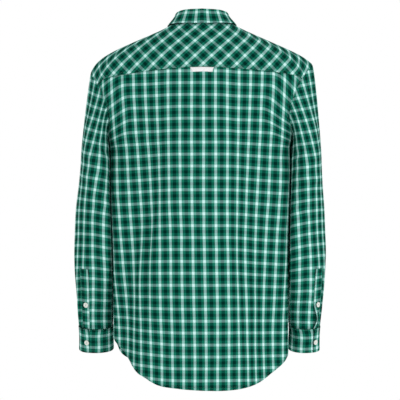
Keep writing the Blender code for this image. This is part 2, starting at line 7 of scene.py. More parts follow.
# %% Load the frame
import math

import bmesh
import bpy
import numpy as np
from mathutils import Matrix, Vector


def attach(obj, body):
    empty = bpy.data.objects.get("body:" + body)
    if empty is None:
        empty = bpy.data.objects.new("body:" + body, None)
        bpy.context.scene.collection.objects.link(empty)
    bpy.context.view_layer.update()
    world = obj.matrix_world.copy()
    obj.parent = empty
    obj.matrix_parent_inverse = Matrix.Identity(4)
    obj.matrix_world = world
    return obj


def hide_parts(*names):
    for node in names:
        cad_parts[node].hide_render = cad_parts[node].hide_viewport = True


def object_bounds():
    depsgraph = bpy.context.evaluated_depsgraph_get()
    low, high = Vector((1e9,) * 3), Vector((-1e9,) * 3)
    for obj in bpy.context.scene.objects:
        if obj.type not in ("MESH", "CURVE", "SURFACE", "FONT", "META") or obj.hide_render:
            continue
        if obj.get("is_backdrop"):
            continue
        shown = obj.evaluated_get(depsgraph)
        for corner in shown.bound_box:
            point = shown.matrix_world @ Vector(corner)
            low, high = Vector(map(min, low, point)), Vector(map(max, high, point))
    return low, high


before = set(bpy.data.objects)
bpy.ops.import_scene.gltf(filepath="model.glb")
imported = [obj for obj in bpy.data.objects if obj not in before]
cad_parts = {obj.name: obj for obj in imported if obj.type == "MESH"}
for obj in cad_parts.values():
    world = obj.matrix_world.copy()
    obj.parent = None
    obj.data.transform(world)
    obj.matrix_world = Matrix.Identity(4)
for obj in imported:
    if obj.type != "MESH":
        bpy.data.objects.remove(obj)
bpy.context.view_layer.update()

# %% [markdown]
# ## Sizes
# The body's surface is one function of two numbers: q goes round it (0 centre back,
# 1 left side seam, 2 centre front) and v goes up it (-1 the lowest hem, 0 the underarm,
# 1 the neck seam).  The shirt's own sizes stand in tables, in metres, each where it is
# first needed; a column named left or right belongs to one side.

# %% Sizes and fineness
UNDERARM, LOWEST, BACK_Y = -0.270, -0.800, 0.115
SIDE_ARC, TURN_ARC = 0.264, 0.055       # half a back along the cloth, and its last bend
LAP = 0.017                             # the fronts pass the centre by this
BAND, CLEAR, SEAM = 0.0018, 0.0004, 0.0002  # a band's thickness, a gap, a seam's draw
HEM_SEW, TOP_SEW, BAND_SEW, EDGE_SEW = 0.0060, 0.0012, 0.0014, 0.0050   # from an edge
FADE = 0.03              # creases die out this near a seam
POPLIN = 0.0005          # wall of one layer as it is shown
DOUBLE = 0.0013          # wall of a collar, a stand or a cuff
STRIP = DOUBLE * 0.6     # wall of a placket
CHECK = 0.025            # one repeat of the check
SIDES = (("left", 1), ("right", -1))

# How finely the panels are divided: columns across, rows up, and steps that start small.
BACK_HALF, FRONT_COLUMNS, LAP_COLUMNS = 60, 54, 9
LOW_ROWS, ARM_ROWS, CAP_COLUMNS = 84, 28, 20
SEAM_STEPS = np.linspace(0, 1, 29) ** 1.5


def table(names, text):
    """Rows of numbers under named columns."""
    names = names.split()
    columns = np.array(text.split(), float).reshape(-1, len(names)).T
    return dict(zip(names, columns.copy()))


print("a small table:", table("q z", "0 .5 1 .7"))


# %% Curve helpers
def hermite(a, leave, b, arrive, t):
    """A curve from a to b that leaves and arrives in given directions."""
    return ((2 * t**3 - 3 * t**2 + 1) * a + (t**3 - 2 * t**2 + t) * leave
            + (3 * t**2 - 2 * t**3) * b + (t**3 - t**2) * arrive)


def smooth(x, xs, ys):
    """A smooth curve through the rows of a table, level outside its ends."""
    if xs[0] > xs[-1]:
        xs, ys = xs[::-1], ys[::-1]
    slope = np.gradient(ys, xs)
    x = np.clip(x, xs[0], xs[-1])
    i = np.clip(np.searchsorted(xs, x) - 1, 0, len(xs) - 2)
    h = xs[i + 1] - xs[i]
    return hermite(ys[i], h * slope[i], ys[i + 1], h * slope[i + 1], (x - xs[i]) / h)


def row(rows, key, at, *names):
    return [smooth(at, rows[key], rows[name]) for name in names]


def by_side(rows, q):
    """A table's left column where q is positive and its right one elsewhere."""
    left, right = row(rows, "q", np.abs(q), "left", "right")
    return np.where(q < 0, right, left)


def wrap(q):
    """Count a q that has passed the centre front from the other side."""
    return np.where(q > 2, q - 4, np.where(q < -2, q + 4, q))


def ease(t):
    t = np.clip(t, 0.0, 1.0)
    return t * t * (3 - 2 * t)


def unit(v):
    return v / np.maximum(np.linalg.norm(v, axis=-1, keepdims=True), 1e-12)


def run_of(line):
    """Distance along a line of points from its first."""
    return np.r_[0, np.cumsum(np.linalg.norm(np.diff(line, axis=0), axis=1))]


def run_along(points, axis):
    """Distance along a grid's lines from their first point."""
    step = np.linalg.norm(np.diff(points, axis=axis), axis=2)
    zero = 0 * step.take([0], axis)
    return np.concatenate([zero, np.cumsum(step, axis)], axis)


def read_columns(points, run, at):
    """Points at a distance, or at several, down each column of a grid."""
    return np.array([[np.interp(at, r, p) for p in column.T]
                     for r, column in zip(run.T, points.transpose(1, 0, 2))])


print("smooth(.5) of 0, 1, 4:", smooth(.5, np.arange(3.), np.array([0., 1, 4])))


# %% [markdown]
# ## The body's surface
# Below the underarm each section is walked like a tailor's tape: from the centre back
# the cloth turns by its own angle, with a long soft fold on each side, then rounds to
# the side seam.  Above it, each line up the body bends round a corner to the neck.

# %% Body sections
# Sections below the underarm: half widths, lean of the back in degrees, the front's y.
BODY = table("z width_left width_right lean_left lean_right front_y", """
-0.800 .1935 .1880 16 16 -.1480
-0.650 .1925 .1880 16 17 -.1500
-0.500 .1930 .1882 14 14 -.1520
-0.380 .1960 .1895 13 12 -.1530
-0.270 .1970 .1898 17 16 -.1520""")
# The long fold down each half of the back: where it is, how wide and how steep.
FOLDS = table("z at_left wide_left steep_left at_right wide_right steep_right", """
-0.800 .172 .045 40 .132 .055 28
-0.629 .160 .038 42 .118 .050 32
-0.520 .140 .031 38 .098 .048 32
-0.372 .100 .028 31 .085 .036 29
-0.270 .094 .030 16 .078 .032 18""")
# Soft ripples down each front.
RIPPLES = table("q wide at_underarm at_hem", """
1.28 .085 .0005 .0060
1.50 .080 -.0008 -.0065
1.72 .070 .0008 .0045""")
BACK_STEPS, FRONT_STEPS, HALVINGS = 133, 161, 24


def back_section(side, z):
    """Half the back at one height, walked from the centre by the cloth's own angle."""
    s = np.linspace(0, SIDE_ARC, BACK_STEPS)
    flat_middle, fold_from = .085, .05      # the lean and the fold come in over these
    width, lean = row(BODY, "z", z, "width_" + side, "lean_" + side)
    at, wide, steep = row(FOLDS, "z", z, "at_" + side, "wide_" + side, "steep_" + side)
    free = np.radians(lean * ease(s / flat_middle)
                      + steep * np.exp(-((s - at) / wide) ** 2) * ease(s / fold_from))

    def walk(turn):
        edge = ease((s - turn) / TURN_ARC)
        angle = (1 - edge) * free + edge * math.pi / 2
        middle = (angle[1:] + angle[:-1]) / 2
        step = s[1] - s[0]
        return (np.r_[0, np.cumsum(np.cos(middle)) * step],
                BACK_Y - np.r_[0, np.cumsum(np.sin(middle)) * step])

    low, high = .08, SIDE_ARC - TURN_ARC
    for _ in range(HALVINGS):           # halve until the back has its width
        turn = (low + high) / 2
        if walk(turn)[0][-1] > width:
            high = turn
        else:
            low = turn
    return walk((low + high) / 2)


FRONT_ROUND = 2 / 2.35   # the power of a front's rounded quarter
RIPPLE_LENGTH = .48      # ripples grow over this height below the underarm


def front_section(side, z, start):
    """Half a front at one height, a rounded quarter with soft ripples."""
    front_y, = row(BODY, "z", z, "front_y")
    a = np.linspace(0, math.pi / 2, FRONT_STEPS)
    line = np.stack([start[0] * np.cos(a).clip(0) ** FRONT_ROUND,
                     start[1] + (front_y - start[1]) * np.sin(a) ** FRONT_ROUND], 1)
    run = run_of(line)
    q = 1 + run / run[-1]
    along = unit(np.gradient(line, axis=0))
    outward = np.stack([-along[:, 1], along[:, 0]], 1)
    down = np.clip((UNDERARM - z) / RIPPLE_LENGTH, 0, 1)
    for at, wide, top, hem in zip(*RIPPLES.values()):
        line = line + outward * ((top + (hem - top) * down)
                                 * np.exp(-((q - at) / wide) ** 2))[:, None]
    return q, line


print("back half at mid height:", [round(float(c[-1]), 4) for c in
                                   back_section("left", -.5)])

# %% Body surface
# Where the lines up the body turn to the neck, and how square their corner is.
CORNER = table("q x y z square_left square_right", """
0.00 .000 .1150 -.086 5.0 5.0
0.35 .096 .1105 -.087 5.0 5.0
0.70 .187 .0900 -.0900 5.4 5.6
0.88 .2290 .0660 -.0895 5.8 6.8
1.00 .2645 .0060 -.0870 6.6 9.0
1.10 .2535 -.0380 -.0920 6.6 9.0
1.35 .185 -.0900 -.094 5.0 5.0
1.65 .100 -.1220 -.105 3.4 3.4
2.00 .000 -.1320 -.122 3.0 3.0""")
# The neck seam's ring; left and right are its heights.
NECK = table("q x y left right", """
0.0 .0000 .0650 .0020 .0020
0.5 .0467 .0470 .0008 .0015
1.0 .0660 .0040 -.0035 -.0010
1.5 .0467 -.0395 -.0250 -.0240
1.8 .0204 -.0550 -.0470 -.0470
2.0 .0000 -.0585 -.0550 -.0550""")
QS, LOW, UP = np.linspace(0, 2, 161), np.linspace(-1, 0, 41), np.linspace(0, 1, 61)


def body_lines(side, sign):
    """The surface as a table of points, over QS and over LOW then UP."""
    rings = []
    for z in UNDERARM + LOW * (UNDERARM - LOWEST):
        bx, by = back_section(side, z)
        q, line = front_section(side, z, (bx[-1], by[-1]))
        q_all = np.r_[np.linspace(0, 1, BACK_STEPS), q[1:]]
        x = np.interp(QS, q_all, np.r_[bx, line[1:, 0]])
        y = np.interp(QS, q_all, np.r_[by, line[1:, 1]])
        rings.append(np.stack([sign * x, y, np.full_like(x, z)], 1))
    under = rings[-1]
    corner = np.stack(row(CORNER, "q", QS, "x", "y", "z"), 1) * (sign, 1, 1)
    neck = np.stack(row(NECK, "q", QS, "x", "y", side), 1) * (sign, 1, 1)
    power = 2 / row(CORNER, "q", QS, "square_" + side)[0]
    a = np.linspace(0, math.pi / 2, 241)[:, None]
    rise = (np.sin(a) ** power)[..., None]
    reach = (1 - np.cos(a).clip(0) ** power)[..., None]
    lines = under + (corner - under) * rise + (neck - corner) * reach
    run = run_along(lines, 0)
    upper = read_columns(lines, run / run[-1], UP).transpose(2, 0, 1)
    return np.concatenate([np.array(rings), upper[1:]])


LINES = {side: body_lines(side, sign) for side, sign in SIDES}


def body(q, v):
    """Points of the body's outer surface."""
    q, v = np.broadcast_arrays(np.asarray(q, float), np.asarray(v, float))
    q = wrap(q)
    fq = np.abs(q) / 2 * (len(QS) - 1)
    fv = np.where(v < 0, (v + 1) * (len(LOW) - 1), len(LOW) - 1 + v * (len(UP) - 1))
    i = np.clip(fq.astype(int), 0, len(QS) - 2)
    j = np.clip(fv.astype(int), 0, len(LOW) + len(UP) - 3)
    a, b = (fq - i)[..., None], (fv - j)[..., None]

    def on(t):
        return ((1 - a) * (1 - b) * t[j, i] + a * (1 - b) * t[j, i + 1]
                + (1 - a) * b * t[j + 1, i] + a * b * t[j + 1, i + 1])

    return np.where((q < 0)[..., None], on(LINES["right"]), on(LINES["left"]))


def body_normal(q, v):
    """Directions straight out of the body's surface."""
    e = .012
    v = np.clip(v, -1 + e, 1 - e)
    return unit(np.cross(body(q, v + e) - body(q, v - e), body(q + e, v) - body(q - e, v)))


def surface(grid):
    """The q, the points and the outward directions of a panel's (q, v) grid."""
    q, v = grid[..., 0], grid[..., 1]
    return q, body(q, v), body_normal(q, v)


print("neck seam at the back:", body(0.0, 1.0))


# %% [markdown]
# ## Regions of the surface
# A panel is a patch of (q, v) points between four sides.  Neighbouring panels are cut
# from the same surface, so their seams meet all the way along.

# %% Edges of the panels
# The armholes in three stretches, behind, over and before the arm; 1 is the left.
ARM_BACK = {1: table("q z", """
1.000 -.2700
.945 -.2625
.887 -.2500
.838 -.2340
.810 -.2140
.810 -.1920
.836 -.1690
.882 -.1480
.916 -.1310"""),
            -1: table("q z", """
1.000 -.2700
.938 -.2610
.868 -.2480
.804 -.2340
.758 -.2170
.736 -.1980
.744 -.1770
.782 -.1530
.830 -.1360
.876 -.1205""")}
ARM_TOP = {1: table("q z", """
.916 -.1310
.965 -.1130
1.030 -.1030
1.100 -.1050"""),
           -1: table("q z", """
.876 -.1205
.945 -.0975
1.020 -.0850
1.100 -.0960""")}
ARM_FRONT = {1: table("q z", """
1.100 -.1050
1.145 -.1280
1.180 -.1560
1.190 -.1850
1.170 -.2150
1.120 -.2430
1.055 -.2630
1.000 -.2700"""),
             -1: table("q z", """
1.100 -.0960
1.145 -.1250
1.180 -.1550
1.190 -.1850
1.170 -.2150
1.120 -.2430
1.055 -.2630
1.000 -.2700""")}
FRONT_SEAM_NECK = 1.33   # the q where the front seam meets the neck
# Heights of the yoke's back seam and of the hem.
YOKE_SEAM = table("q left right", """
.000 -.1003 -.1003
.200 -.1025 -.1020
.450 -.1080 -.1058
.620 -.1138 -.1092
.750 -.1180 -.1135
.876 -.1245 -.1205
.916 -.1310 -.1260""")
HEM = table("q left right", """
0.00 -.7796 -.7796
0.19 -.7760 -.7800
0.38 -.7680 -.7760
0.47 -.7560 -.7720
0.57 -.7440 -.7640
0.66 -.7260 -.7510
0.76 -.7020 -.7340
0.85 -.6860 -.7160
1.00 -.6680 -.6860
1.14 -.6960 -.7080
1.28 -.7260 -.7320
1.45 -.7480 -.7500
1.70 -.7560 -.7560
2.00 -.7580 -.7580
2.30 -.7580 -.7580""")
print("hem heights:", HEM["left"].min(), HEM["left"].max())


# %% Patches
def low_v(z):
    """The v of a height below the underarm."""
    return (z - UNDERARM) / (UNDERARM - LOWEST)


def v_at(q, z):
    """The v of a height on the line up the body at q."""
    if z <= UNDERARM:
        return low_v(z)
    return float(np.interp(z, body(np.full(UP.shape, q), UP)[:, 2], UP))


def lap_q(v):
    """The lap as a part of q, measured on the centre front."""
    step = .02
    return LAP * step / np.linalg.norm(body(2.0, v) - body(2 - step, v))


def patch(bottom, top, first, last):
    """(q, v) points between four sides that share their corners."""
    bottom, top, first, last = (np.asarray(e, float) for e in (bottom, top, first, last))
    s = np.linspace(0, 1, len(bottom))[None, :, None]
    r = np.linspace(0, 1, len(first))[:, None, None]
    return ((1 - s) * first[:, None] + s * last[:, None] + (1 - r) * bottom[None]
            + r * top[None] - (1 - s) * (1 - r) * bottom[0] - s * (1 - r) * bottom[-1]
            - (1 - s) * r * top[0] - s * r * top[-1])


def arm_edge(rows, sign, count):
    """(q, v) points along one stretch of an armhole."""
    a, b = rows[sign]["q"], rows[sign]["z"]
    run = run_of(np.stack([a * SIDE_ARC, b], 1))
    s = np.linspace(0, run[-1], count + 1)
    return np.array([(sign * q, v_at(sign * q, z))
                     for q, z in zip(smooth(s, run, a), smooth(s, run, b))])


def hem_rows(q):
    """Rows of (q, v) points from the hem up to just below the underarm."""
    hem = low_v(by_side(HEM, q))
    return np.array([np.stack([q, hem * (1 - r)], 1)
                     for r in np.linspace(0, 1, LOW_ROWS + 1)[:-1]])


def back_grid():
    q = np.linspace(-1, 1, 2 * BACK_HALF + 1)
    top_q = q * np.where(q < 0, ARM_BACK[-1]["q"][-1], ARM_BACK[1]["q"][-1])
    top = np.array([(a, v_at(a, z)) for a, z in zip(top_q, by_side(YOKE_SEAM, top_q))])
    high = patch(np.stack([q, 0 * q], 1), top, arm_edge(ARM_BACK, -1, ARM_ROWS),
                 arm_edge(ARM_BACK, 1, ARM_ROWS))
    return np.concatenate([hem_rows(q), high]), top


def front_grid(sign):
    def columns(v, start):
        lap = lap_q(v)
        return np.r_[np.linspace(start, 2 - lap, FRONT_COLUMNS + 1),
                     np.linspace(2 - lap, 2 + lap, LAP_COLUMNS)[1:]] * sign

    q = columns(0.0, 1.0)
    arm = arm_edge(ARM_FRONT, sign, ARM_ROWS)[::-1]
    end = np.array([sign * FRONT_SEAM_NECK, 1.0])
    first = np.concatenate([arm, arm[-1] + (end - arm[-1]) * SEAM_STEPS[1:, None]])
    rise = np.linspace(0, 1, len(first))
    last = np.stack([[sign * (2 + lap_q(v)) for v in rise], rise], 1)
    top_q = columns(1.0, FRONT_SEAM_NECK)
    grid = patch(np.stack([q, 0 * q], 1), np.stack([top_q, 0 * top_q + 1], 1),
                 first, last)
    for j, v in enumerate(rise):
        grid[j, -LAP_COLUMNS:, 0] = columns(v, 1.0)[-LAP_COLUMNS:]
        grid[j, -LAP_COLUMNS:, 1] = v
    return np.concatenate([hem_rows(q), grid])


def yoke_grid(seam_top):
    shoulder = .74                      # the inner edge's q beside the arm's first point
    inner_q = np.r_[np.linspace(0, shoulder, BACK_HALF + 1),
                    np.linspace(shoulder, FRONT_SEAM_NECK, CAP_COLUMNS + 1)[1:]]
    inner = np.stack([inner_q, np.ones_like(inner_q)], 1)
    halves = {}
    for _, sign in SIDES:
        outer = np.concatenate([seam_top[BACK_HALF::sign],
                                arm_edge(ARM_TOP, sign, CAP_COLUMNS)[1:]])
        halves[sign] = outer + (inner * (sign, 1) - outer) * SEAM_STEPS[:, None, None]
    return np.concatenate([halves[-1][:, :0:-1], halves[1]], 1)


back_qv, seam_top = back_grid()
yoke_qv = yoke_grid(seam_top)
front_qv = {side: front_grid(sign) for side, sign in SIDES}
print("grids:", back_qv.shape, yoke_qv.shape, front_qv["left"].shape)


# %% [markdown]
# ## Folds and puckers
# Cotton never hangs quite smooth.  A table lists each crease by its two ends, its width,
# its depth (minus for a trough) and how far it bows.  Puckers are the small waves that
# sewing draws up beside a seam, and a turned hem or seam stands up a little as a step.

# %% Creases and puckers
def creases(u, v, rows):
    """Height of the cloth's creases at flat positions u, v, in metres."""
    out = np.zeros_like(u)
    before, soft = .10, .45             # a crease fades in and out past its ends
    narrow, widen = .75, .5             # and grows wider along its length
    for u0, v0, u1, v1, wide, deep, bow in zip(*rows.values()):
        du, dv = u1 - u0, v1 - v0
        length = math.hypot(du, dv)
        t = ((u - u0) * du + (v - v0) * dv) / length ** 2
        side = ((u - u0) * -dv + (v - v0) * du) / length
        inside = np.clip(t, 0, 1)
        side = side - bow * 4 * inside * (1 - inside)
        fade = ease((t + before) / soft) * ease((1 + before - t) / soft)
        grown = wide * (narrow + widen * inside)
        out += deep * fade * np.exp(-(side / grown) ** 2)
    return out


def pucker(along, away, wave=.012, high=.00028, reach=.011, shift=0.0):
    """Small uneven waves beside a seam that lies at away = 0."""
    a = along / wave * 2 * math.pi
    held = .0016                        # the seam itself stays flat this far
    ripple = np.sin(a + shift) + .6 * np.sin(a * .57 + 1.7 * shift + 1) \
        + .4 * np.sin(a * 1.83 + 2.3 * shift)
    return high * ripple * np.exp(-np.abs(away) / reach) * ease(np.abs(away) / held)


def turned(away, high, at, soft):
    """The step of cloth that is turned under as far as at from its edge."""
    return high * (1 - ease((away - at) / soft))


def to_edge(run, axis=1):
    """Distance to the nearer end of each line of a grid."""
    return np.minimum(run, run.take([-1], axis) - run)


def lifted(points, normal, lift):
    return points + normal * lift[..., None]


BACK_CREASES = table("u0 v0 u1 v1 wide deep bow", """
.215 -.235 .165 -.330 .010 -.0022 .006
.222 -.300 .150 -.420 .013 .0022 .010
.190 -.215 .120 -.262 .010 .0014 -.004
-.213 -.232 -.160 -.318 .010 -.0020 -.006
-.218 -.290 -.140 -.400 .013 .0020 -.010
-.195 -.205 -.125 -.250 .009 .0013 .004
.040 -.330 .028 -.620 .016 .0012 .006
-.045 -.300 -.036 -.560 .018 -.0010 -.005
.205 -.480 .190 -.640 .014 .0020 .004
-.200 -.450 -.178 -.640 .015 .0020 -.004
.116 -.400 .119 -.670 .008 -.0044 .004
.136 -.380 .134 -.640 .010 .0030 .004
.100 -.450 .104 -.700 .009 .0018 .003
-.090 -.390 -.092 -.720 .017 -.0034 -.004
-.122 -.420 -.118 -.690 .013 .0026 -.004
.070 -.560 .082 -.740 .015 -.0014 .003
-.060 -.600 -.074 -.750 .016 .0014 .003""")
FRONT_CREASES = table("u0 v0 u1 v1 wide deep bow", """
.235 -.225 .150 -.300 .011 -.0022 .006
.240 -.285 .130 -.380 .013 .0022 .010
.225 -.180 .165 -.175 .010 .0016 .006
.110 -.200 .080 -.420 .017 .0014 .006
.060 -.420 .072 -.690 .016 -.0014 -.004
.180 -.430 .150 -.640 .016 .0022 .006
.200 -.520 .215 -.640 .012 -.0016 .004""")
print("creases on the back:", len(BACK_CREASES["u0"]))


# %% [markdown]
# ## Cloth as a mesh
# Each panel is an open grid with a Solidify modifier. The back, the yoke, the sleeves
# and the bands are laid out from distances measured along the cloth; the fronts and the
# collar are flattened by Blender's unwrap, then scaled and turned until they measure
# true.

# %% Mesh helpers
def grid_normals(points):
    return unit(np.cross(np.gradient(points, axis=0), np.gradient(points, axis=1)))


def edge_first(grid, side):
    """A grid turned so that the named edge is its first row."""
    if side in ("first", "last"):
        grid = grid.transpose(1, 0, 2)
    return grid[::-1] if side in ("high", "last") else grid


def pull_in(points, edges):
    """Move a grid's edge rows or columns in by the draw of a seam."""
    moved = points.copy()
    for side in edges.split():
        p = edge_first(points, side)
        edge_first(moved, side)[0] += unit(p[1] - p[0]) * SEAM
    return moved


def add(name, data):
    """A new object in the scene."""
    thing = bpy.data.objects.new(name, data)
    bpy.context.scene.collection.objects.link(thing)
    return thing


def mesh_object(name, points, faces):
    mesh = bpy.data.meshes.new(name)
    mesh.from_pydata(points.reshape(-1, 3).tolist(), [], faces)
    mesh.shade_smooth()
    return add(name, mesh)


def cloth(name, points, wall, flip, flat):
    """An open grid of cloth with a wall on its inner side."""
    rows_n, cols = points.shape[:2]
    j, i = np.meshgrid(np.arange(rows_n - 1), np.arange(cols - 1), indexing="ij")
    k = j * cols + i
    faces = np.stack([k, k + cols, k + cols + 1, k + 1], -1).reshape(-1, 4)
    thing = mesh_object(name, points, (faces[:, ::-1] if flip else faces).tolist())
    thing.data.uv_layers.new(name="cloth")
    if flat is not None:
        write_flat(thing, flat.reshape(-1, 2))
    shell = thing.modifiers.new("wall", "SOLIDIFY")
    shell.thickness, shell.offset = wall, -1
    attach(thing, "root")
    return thing


def corner_points(mesh):
    """The point number of each face corner."""
    at = np.empty(len(mesh.loops), int)
    mesh.loops.foreach_get("vertex_index", at)
    return at


def write_flat(thing, per_point):
    uv = per_point[corner_points(thing.data)].astype(np.float32)
    thing.data.uv_layers["cloth"].data.foreach_set("uv", uv.ravel())


def read_flat(thing):
    uv = np.empty(len(thing.data.loops) * 2)
    thing.data.uv_layers["cloth"].data.foreach_get("uv", uv)
    return uv.reshape(-1, 2)


def flatten(thing, low, high, beside, place):
    """Unwrap a grid, then scale it to metres, turn low-high to the warp and move it.

    low, high and beside are point numbers: the warp runs from low to high, and beside
    lies on the +u side.  The point low ends at the flat position place."""
    bpy.ops.object.select_all(action="DESELECT")
    thing.select_set(True)
    bpy.context.view_layer.objects.active = thing
    bpy.ops.object.mode_set(mode="EDIT")
    bpy.ops.mesh.select_all(action="SELECT")
    bpy.ops.uv.unwrap(method="MINIMUM_STRETCH", fill_holes=False, correct_aspect=False,
                      margin=0.0, iterations=12)
    bpy.ops.object.mode_set(mode="OBJECT")
    mesh = thing.data
    at = corner_points(mesh)
    flat = np.empty((len(mesh.vertices), 2))
    flat[at] = read_flat(thing)
    quads = at.reshape(-1, 4)
    a, b = flat[quads[:, 2]] - flat[quads[:, 0]], flat[quads[:, 3]] - flat[quads[:, 1]]
    flat_area = np.abs((a[:, 0] * b[:, 1] - a[:, 1] * b[:, 0]) / 2).sum()
    flat *= math.sqrt(sum(p.area for p in mesh.polygons) / flat_area)
    way = flat[high] - flat[low]
    back = math.pi / 2 - math.atan2(way[1], way[0])
    spin = np.array([[math.cos(back), -math.sin(back)], [math.sin(back), math.cos(back)]])
    flat = flat @ spin.T
    if (flat[beside] - flat[low])[0] < 0:
        flat[:, 0] *= -1
    flat += place - flat[low]
    write_flat(thing, flat)
    return np.ptp(flat, axis=0)


LEAST_SHARE = .301       # a cut fills at least this share of the rectangle round it


def declare(thing):
    """State the cut of a piece: its flat size and its flat area."""
    wide, tall = (float(c) for c in np.ptp(read_flat(thing), axis=0))
    area = min(sum(p.area for p in thing.data.polygons), wide * tall)
    area = max(area, LEAST_SHARE * wide * tall)
    print(f"{thing.name}: cut {wide:.3f} x {tall:.3f} m, {area:.4f} m2")


# %% [markdown]
# ## The check
# Poplin checks are woven from dyed yarn: the same order of white, green and near-black
# yarns runs up the cloth and across it.  Where two colours cross the eye sees their
# mix, and the warp shows a little more.  One node group makes the pattern from the flat
# coordinates, with two colour ramps over one repeat.

# %% Node helpers
def feed(tree, target, values):
    """Give a node's inputs, by name or number, a value or a wire."""
    for key, value in values.items():
        if isinstance(value, bpy.types.NodeSocket):
            tree.links.new(value, target.inputs[key])
        else:
            target.inputs[key].default_value = value
    return target


def node(tree, kind, **values):
    return feed(tree, tree.nodes.new("ShaderNode" + kind), values)


def math_node(tree, kind, *values):
    n = node(tree, "Math")
    n.operation = kind
    return feed(tree, n, dict(enumerate(values))).outputs[0]


def ramp(tree, place, stops):
    """Colours in order along one number."""
    n = feed(tree, node(tree, "ValToRGB"), {0: place})
    items = n.color_ramp.elements
    items.remove(items[-1])
    for k, (position, colour) in enumerate(stops):
        item = items.new(position) if k else items[0]
        item.position, item.color = position, (*colour, 1)
    return n.outputs[0]


def group_with(name, inputs, outputs):
    g = bpy.data.node_groups.new(name, "ShaderNodeTree")
    for label, kind, value in inputs:
        socket = g.interface.new_socket(label, in_out="INPUT", socket_type=kind)
        if value is not None:
            socket.default_value = value
    for label, kind in outputs:
        g.interface.new_socket(label, in_out="OUTPUT", socket_type=kind)
    return g, g.nodes.new("NodeGroupInput").outputs, g.nodes.new("NodeGroupOutput")


print("node helpers ready")

# %% Check node group
WHITE_YARN = (.530, .765, .745)
GREEN_YARN = (.007, .150, .096)
DARK_YARN = (.0002, .0215, .0155)
DEPTH = 2.0              # colours are mixed as their square roots
SOFT = .009              # half the blur between two yarns, as a share of the repeat
WARP_SHARE, SLUB = .60, .10
DRIFT = .0012            # how far a yarn wanders to a side


def yarn_ramp(tree, place, half_white, half_dark):
    """One repeat of coloured yarns: white in the middle, green, then the dark ends."""
    white, green, dark = (tuple(c ** (1 / DEPTH) for c in yarn)
                          for yarn in (WHITE_YARN, GREEN_YARN, DARK_YARN))
    stops = [(0, dark)]
    for at, before, after in ((half_dark, dark, green), (.5 - half_white, green, white),
                              (.5 + half_white, white, green), (1 - half_dark, green, dark)):
        stops += [(at - SOFT, before), (at + SOFT, after)]
    return ramp(tree, place, stops + [(1, dark)])


def check_group():
    g, take, give = group_with(
        "poplin check", [("Flat", "NodeSocketVector", None),
                         ("Repeat", "NodeSocketFloat", CHECK),
                         ("Warp Share", "NodeSocketFloat", WARP_SHARE),
                         ("Slub", "NodeSocketFloat", SLUB)],
        [("Color", "NodeSocketColor"), ("Relief", "NodeSocketFloat")])
    drift = node(g, "TexNoise", Scale=22, Detail=1, Vector=take["Flat"])
    part = feed(g, node(g, "SeparateXYZ"), {0: take["Flat"]})
    wander = feed(g, node(g, "SeparateColor"), {0: drift.outputs["Color"]})
    colours, slubs = [], []
    for k, (half_white, half_dark, stretch) in enumerate(
            ((.115, .155, (2600, 70, 1)), (.118, .127, (70, 2600, 1)))):
        off = math_node(g, "MULTIPLY", math_node(g, "SUBTRACT", wander.outputs[k], .5),
                        DRIFT)
        at = math_node(g, "DIVIDE", math_node(g, "ADD", part.outputs[k], off),
                       take["Repeat"])
        at = math_node(g, "FRACT", math_node(g, "ADD", at, .5))
        colours.append(yarn_ramp(g, at, half_white, half_dark))
        scale = node(g, "VectorMath")
        scale.operation = "MULTIPLY"
        feed(g, scale, {0: take["Flat"], 1: stretch})
        slub = node(g, "TexNoise", Scale=1, Detail=2, Vector=scale.outputs[0])
        slubs.append(slub.outputs["Fac"])
    uneven = math_node(g, "SUBTRACT", *slubs)
    weft = math_node(g, "SUBTRACT", 1.0, take["Warp Share"])
    weft = math_node(g, "ADD", weft, math_node(g, "MULTIPLY", uneven, take["Slub"]))
    mix = node(g, "Mix")
    mix.data_type = "RGBA"
    feed(g, mix, {"Factor": weft, 6: colours[0], 7: colours[1]})
    deep = node(g, "Gamma", Gamma=DEPTH, Color=mix.outputs[2])
    feed(g, give, {"Color": deep.outputs["Color"],
                   "Relief": math_node(g, "ADD", *slubs)})
    return g


CHECK_GROUP = check_group()
print("check group:", len(CHECK_GROUP.nodes), "nodes")


# %% [markdown]
# ## Plain weave
# Between the colours lies the weave itself, yarns that pass over and under each other.
# It is far finer than any mesh, so it is a bump: two crossed waves that take turns.  It
# is drawn at twenty yarns to the centimetre, coarser than real poplin, so that it still
# shows from close by.

# %% Weave node group
def weave_group():
    g, take, give = group_with(
        "plain weave", [("Flat", "NodeSocketVector", None),
                        ("Yarn", "NodeSocketFloat", .00050)],
        [("Height", "NodeSocketFloat")])
    part = feed(g, node(g, "SeparateXYZ"), {0: take["Flat"]})
    turns = [math_node(g, "MULTIPLY", math_node(g, "DIVIDE", part.outputs[k],
                                                take["Yarn"]), math.pi) for k in (0, 1)]
    both = [math_node(g, "ABSOLUTE", math_node(
        g, "MULTIPLY", *(math_node(g, kind, turn) for turn in turns)))
        for kind in ("SINE", "COSINE")]
    feed(g, give, {"Height": math_node(g, "ADD", *both)})
    return g


WEAVE_GROUP = weave_group()
print("weave group:", len(WEAVE_GROUP.nodes), "nodes")


# %% Materials
def new_material(name):
    m = bpy.data.materials.new(name)
    m.use_nodes = True
    return m, m.node_tree, m.node_tree.nodes["Principled BSDF"]


def use_group(tree, group, **values):
    n = node(tree, "Group")
    n.node_tree = group
    return feed(tree, n, values).outputs


def flat_place(tree):
    """The flat coordinates of a piece's cut."""
    n = node(tree, "UVMap")
    n.uv_map = "cloth"
    return n.outputs[0]


def bump(tree, height, strength, distance):
    return node(tree, "Bump", Strength=strength, Distance=distance,
                Height=height).outputs[0]


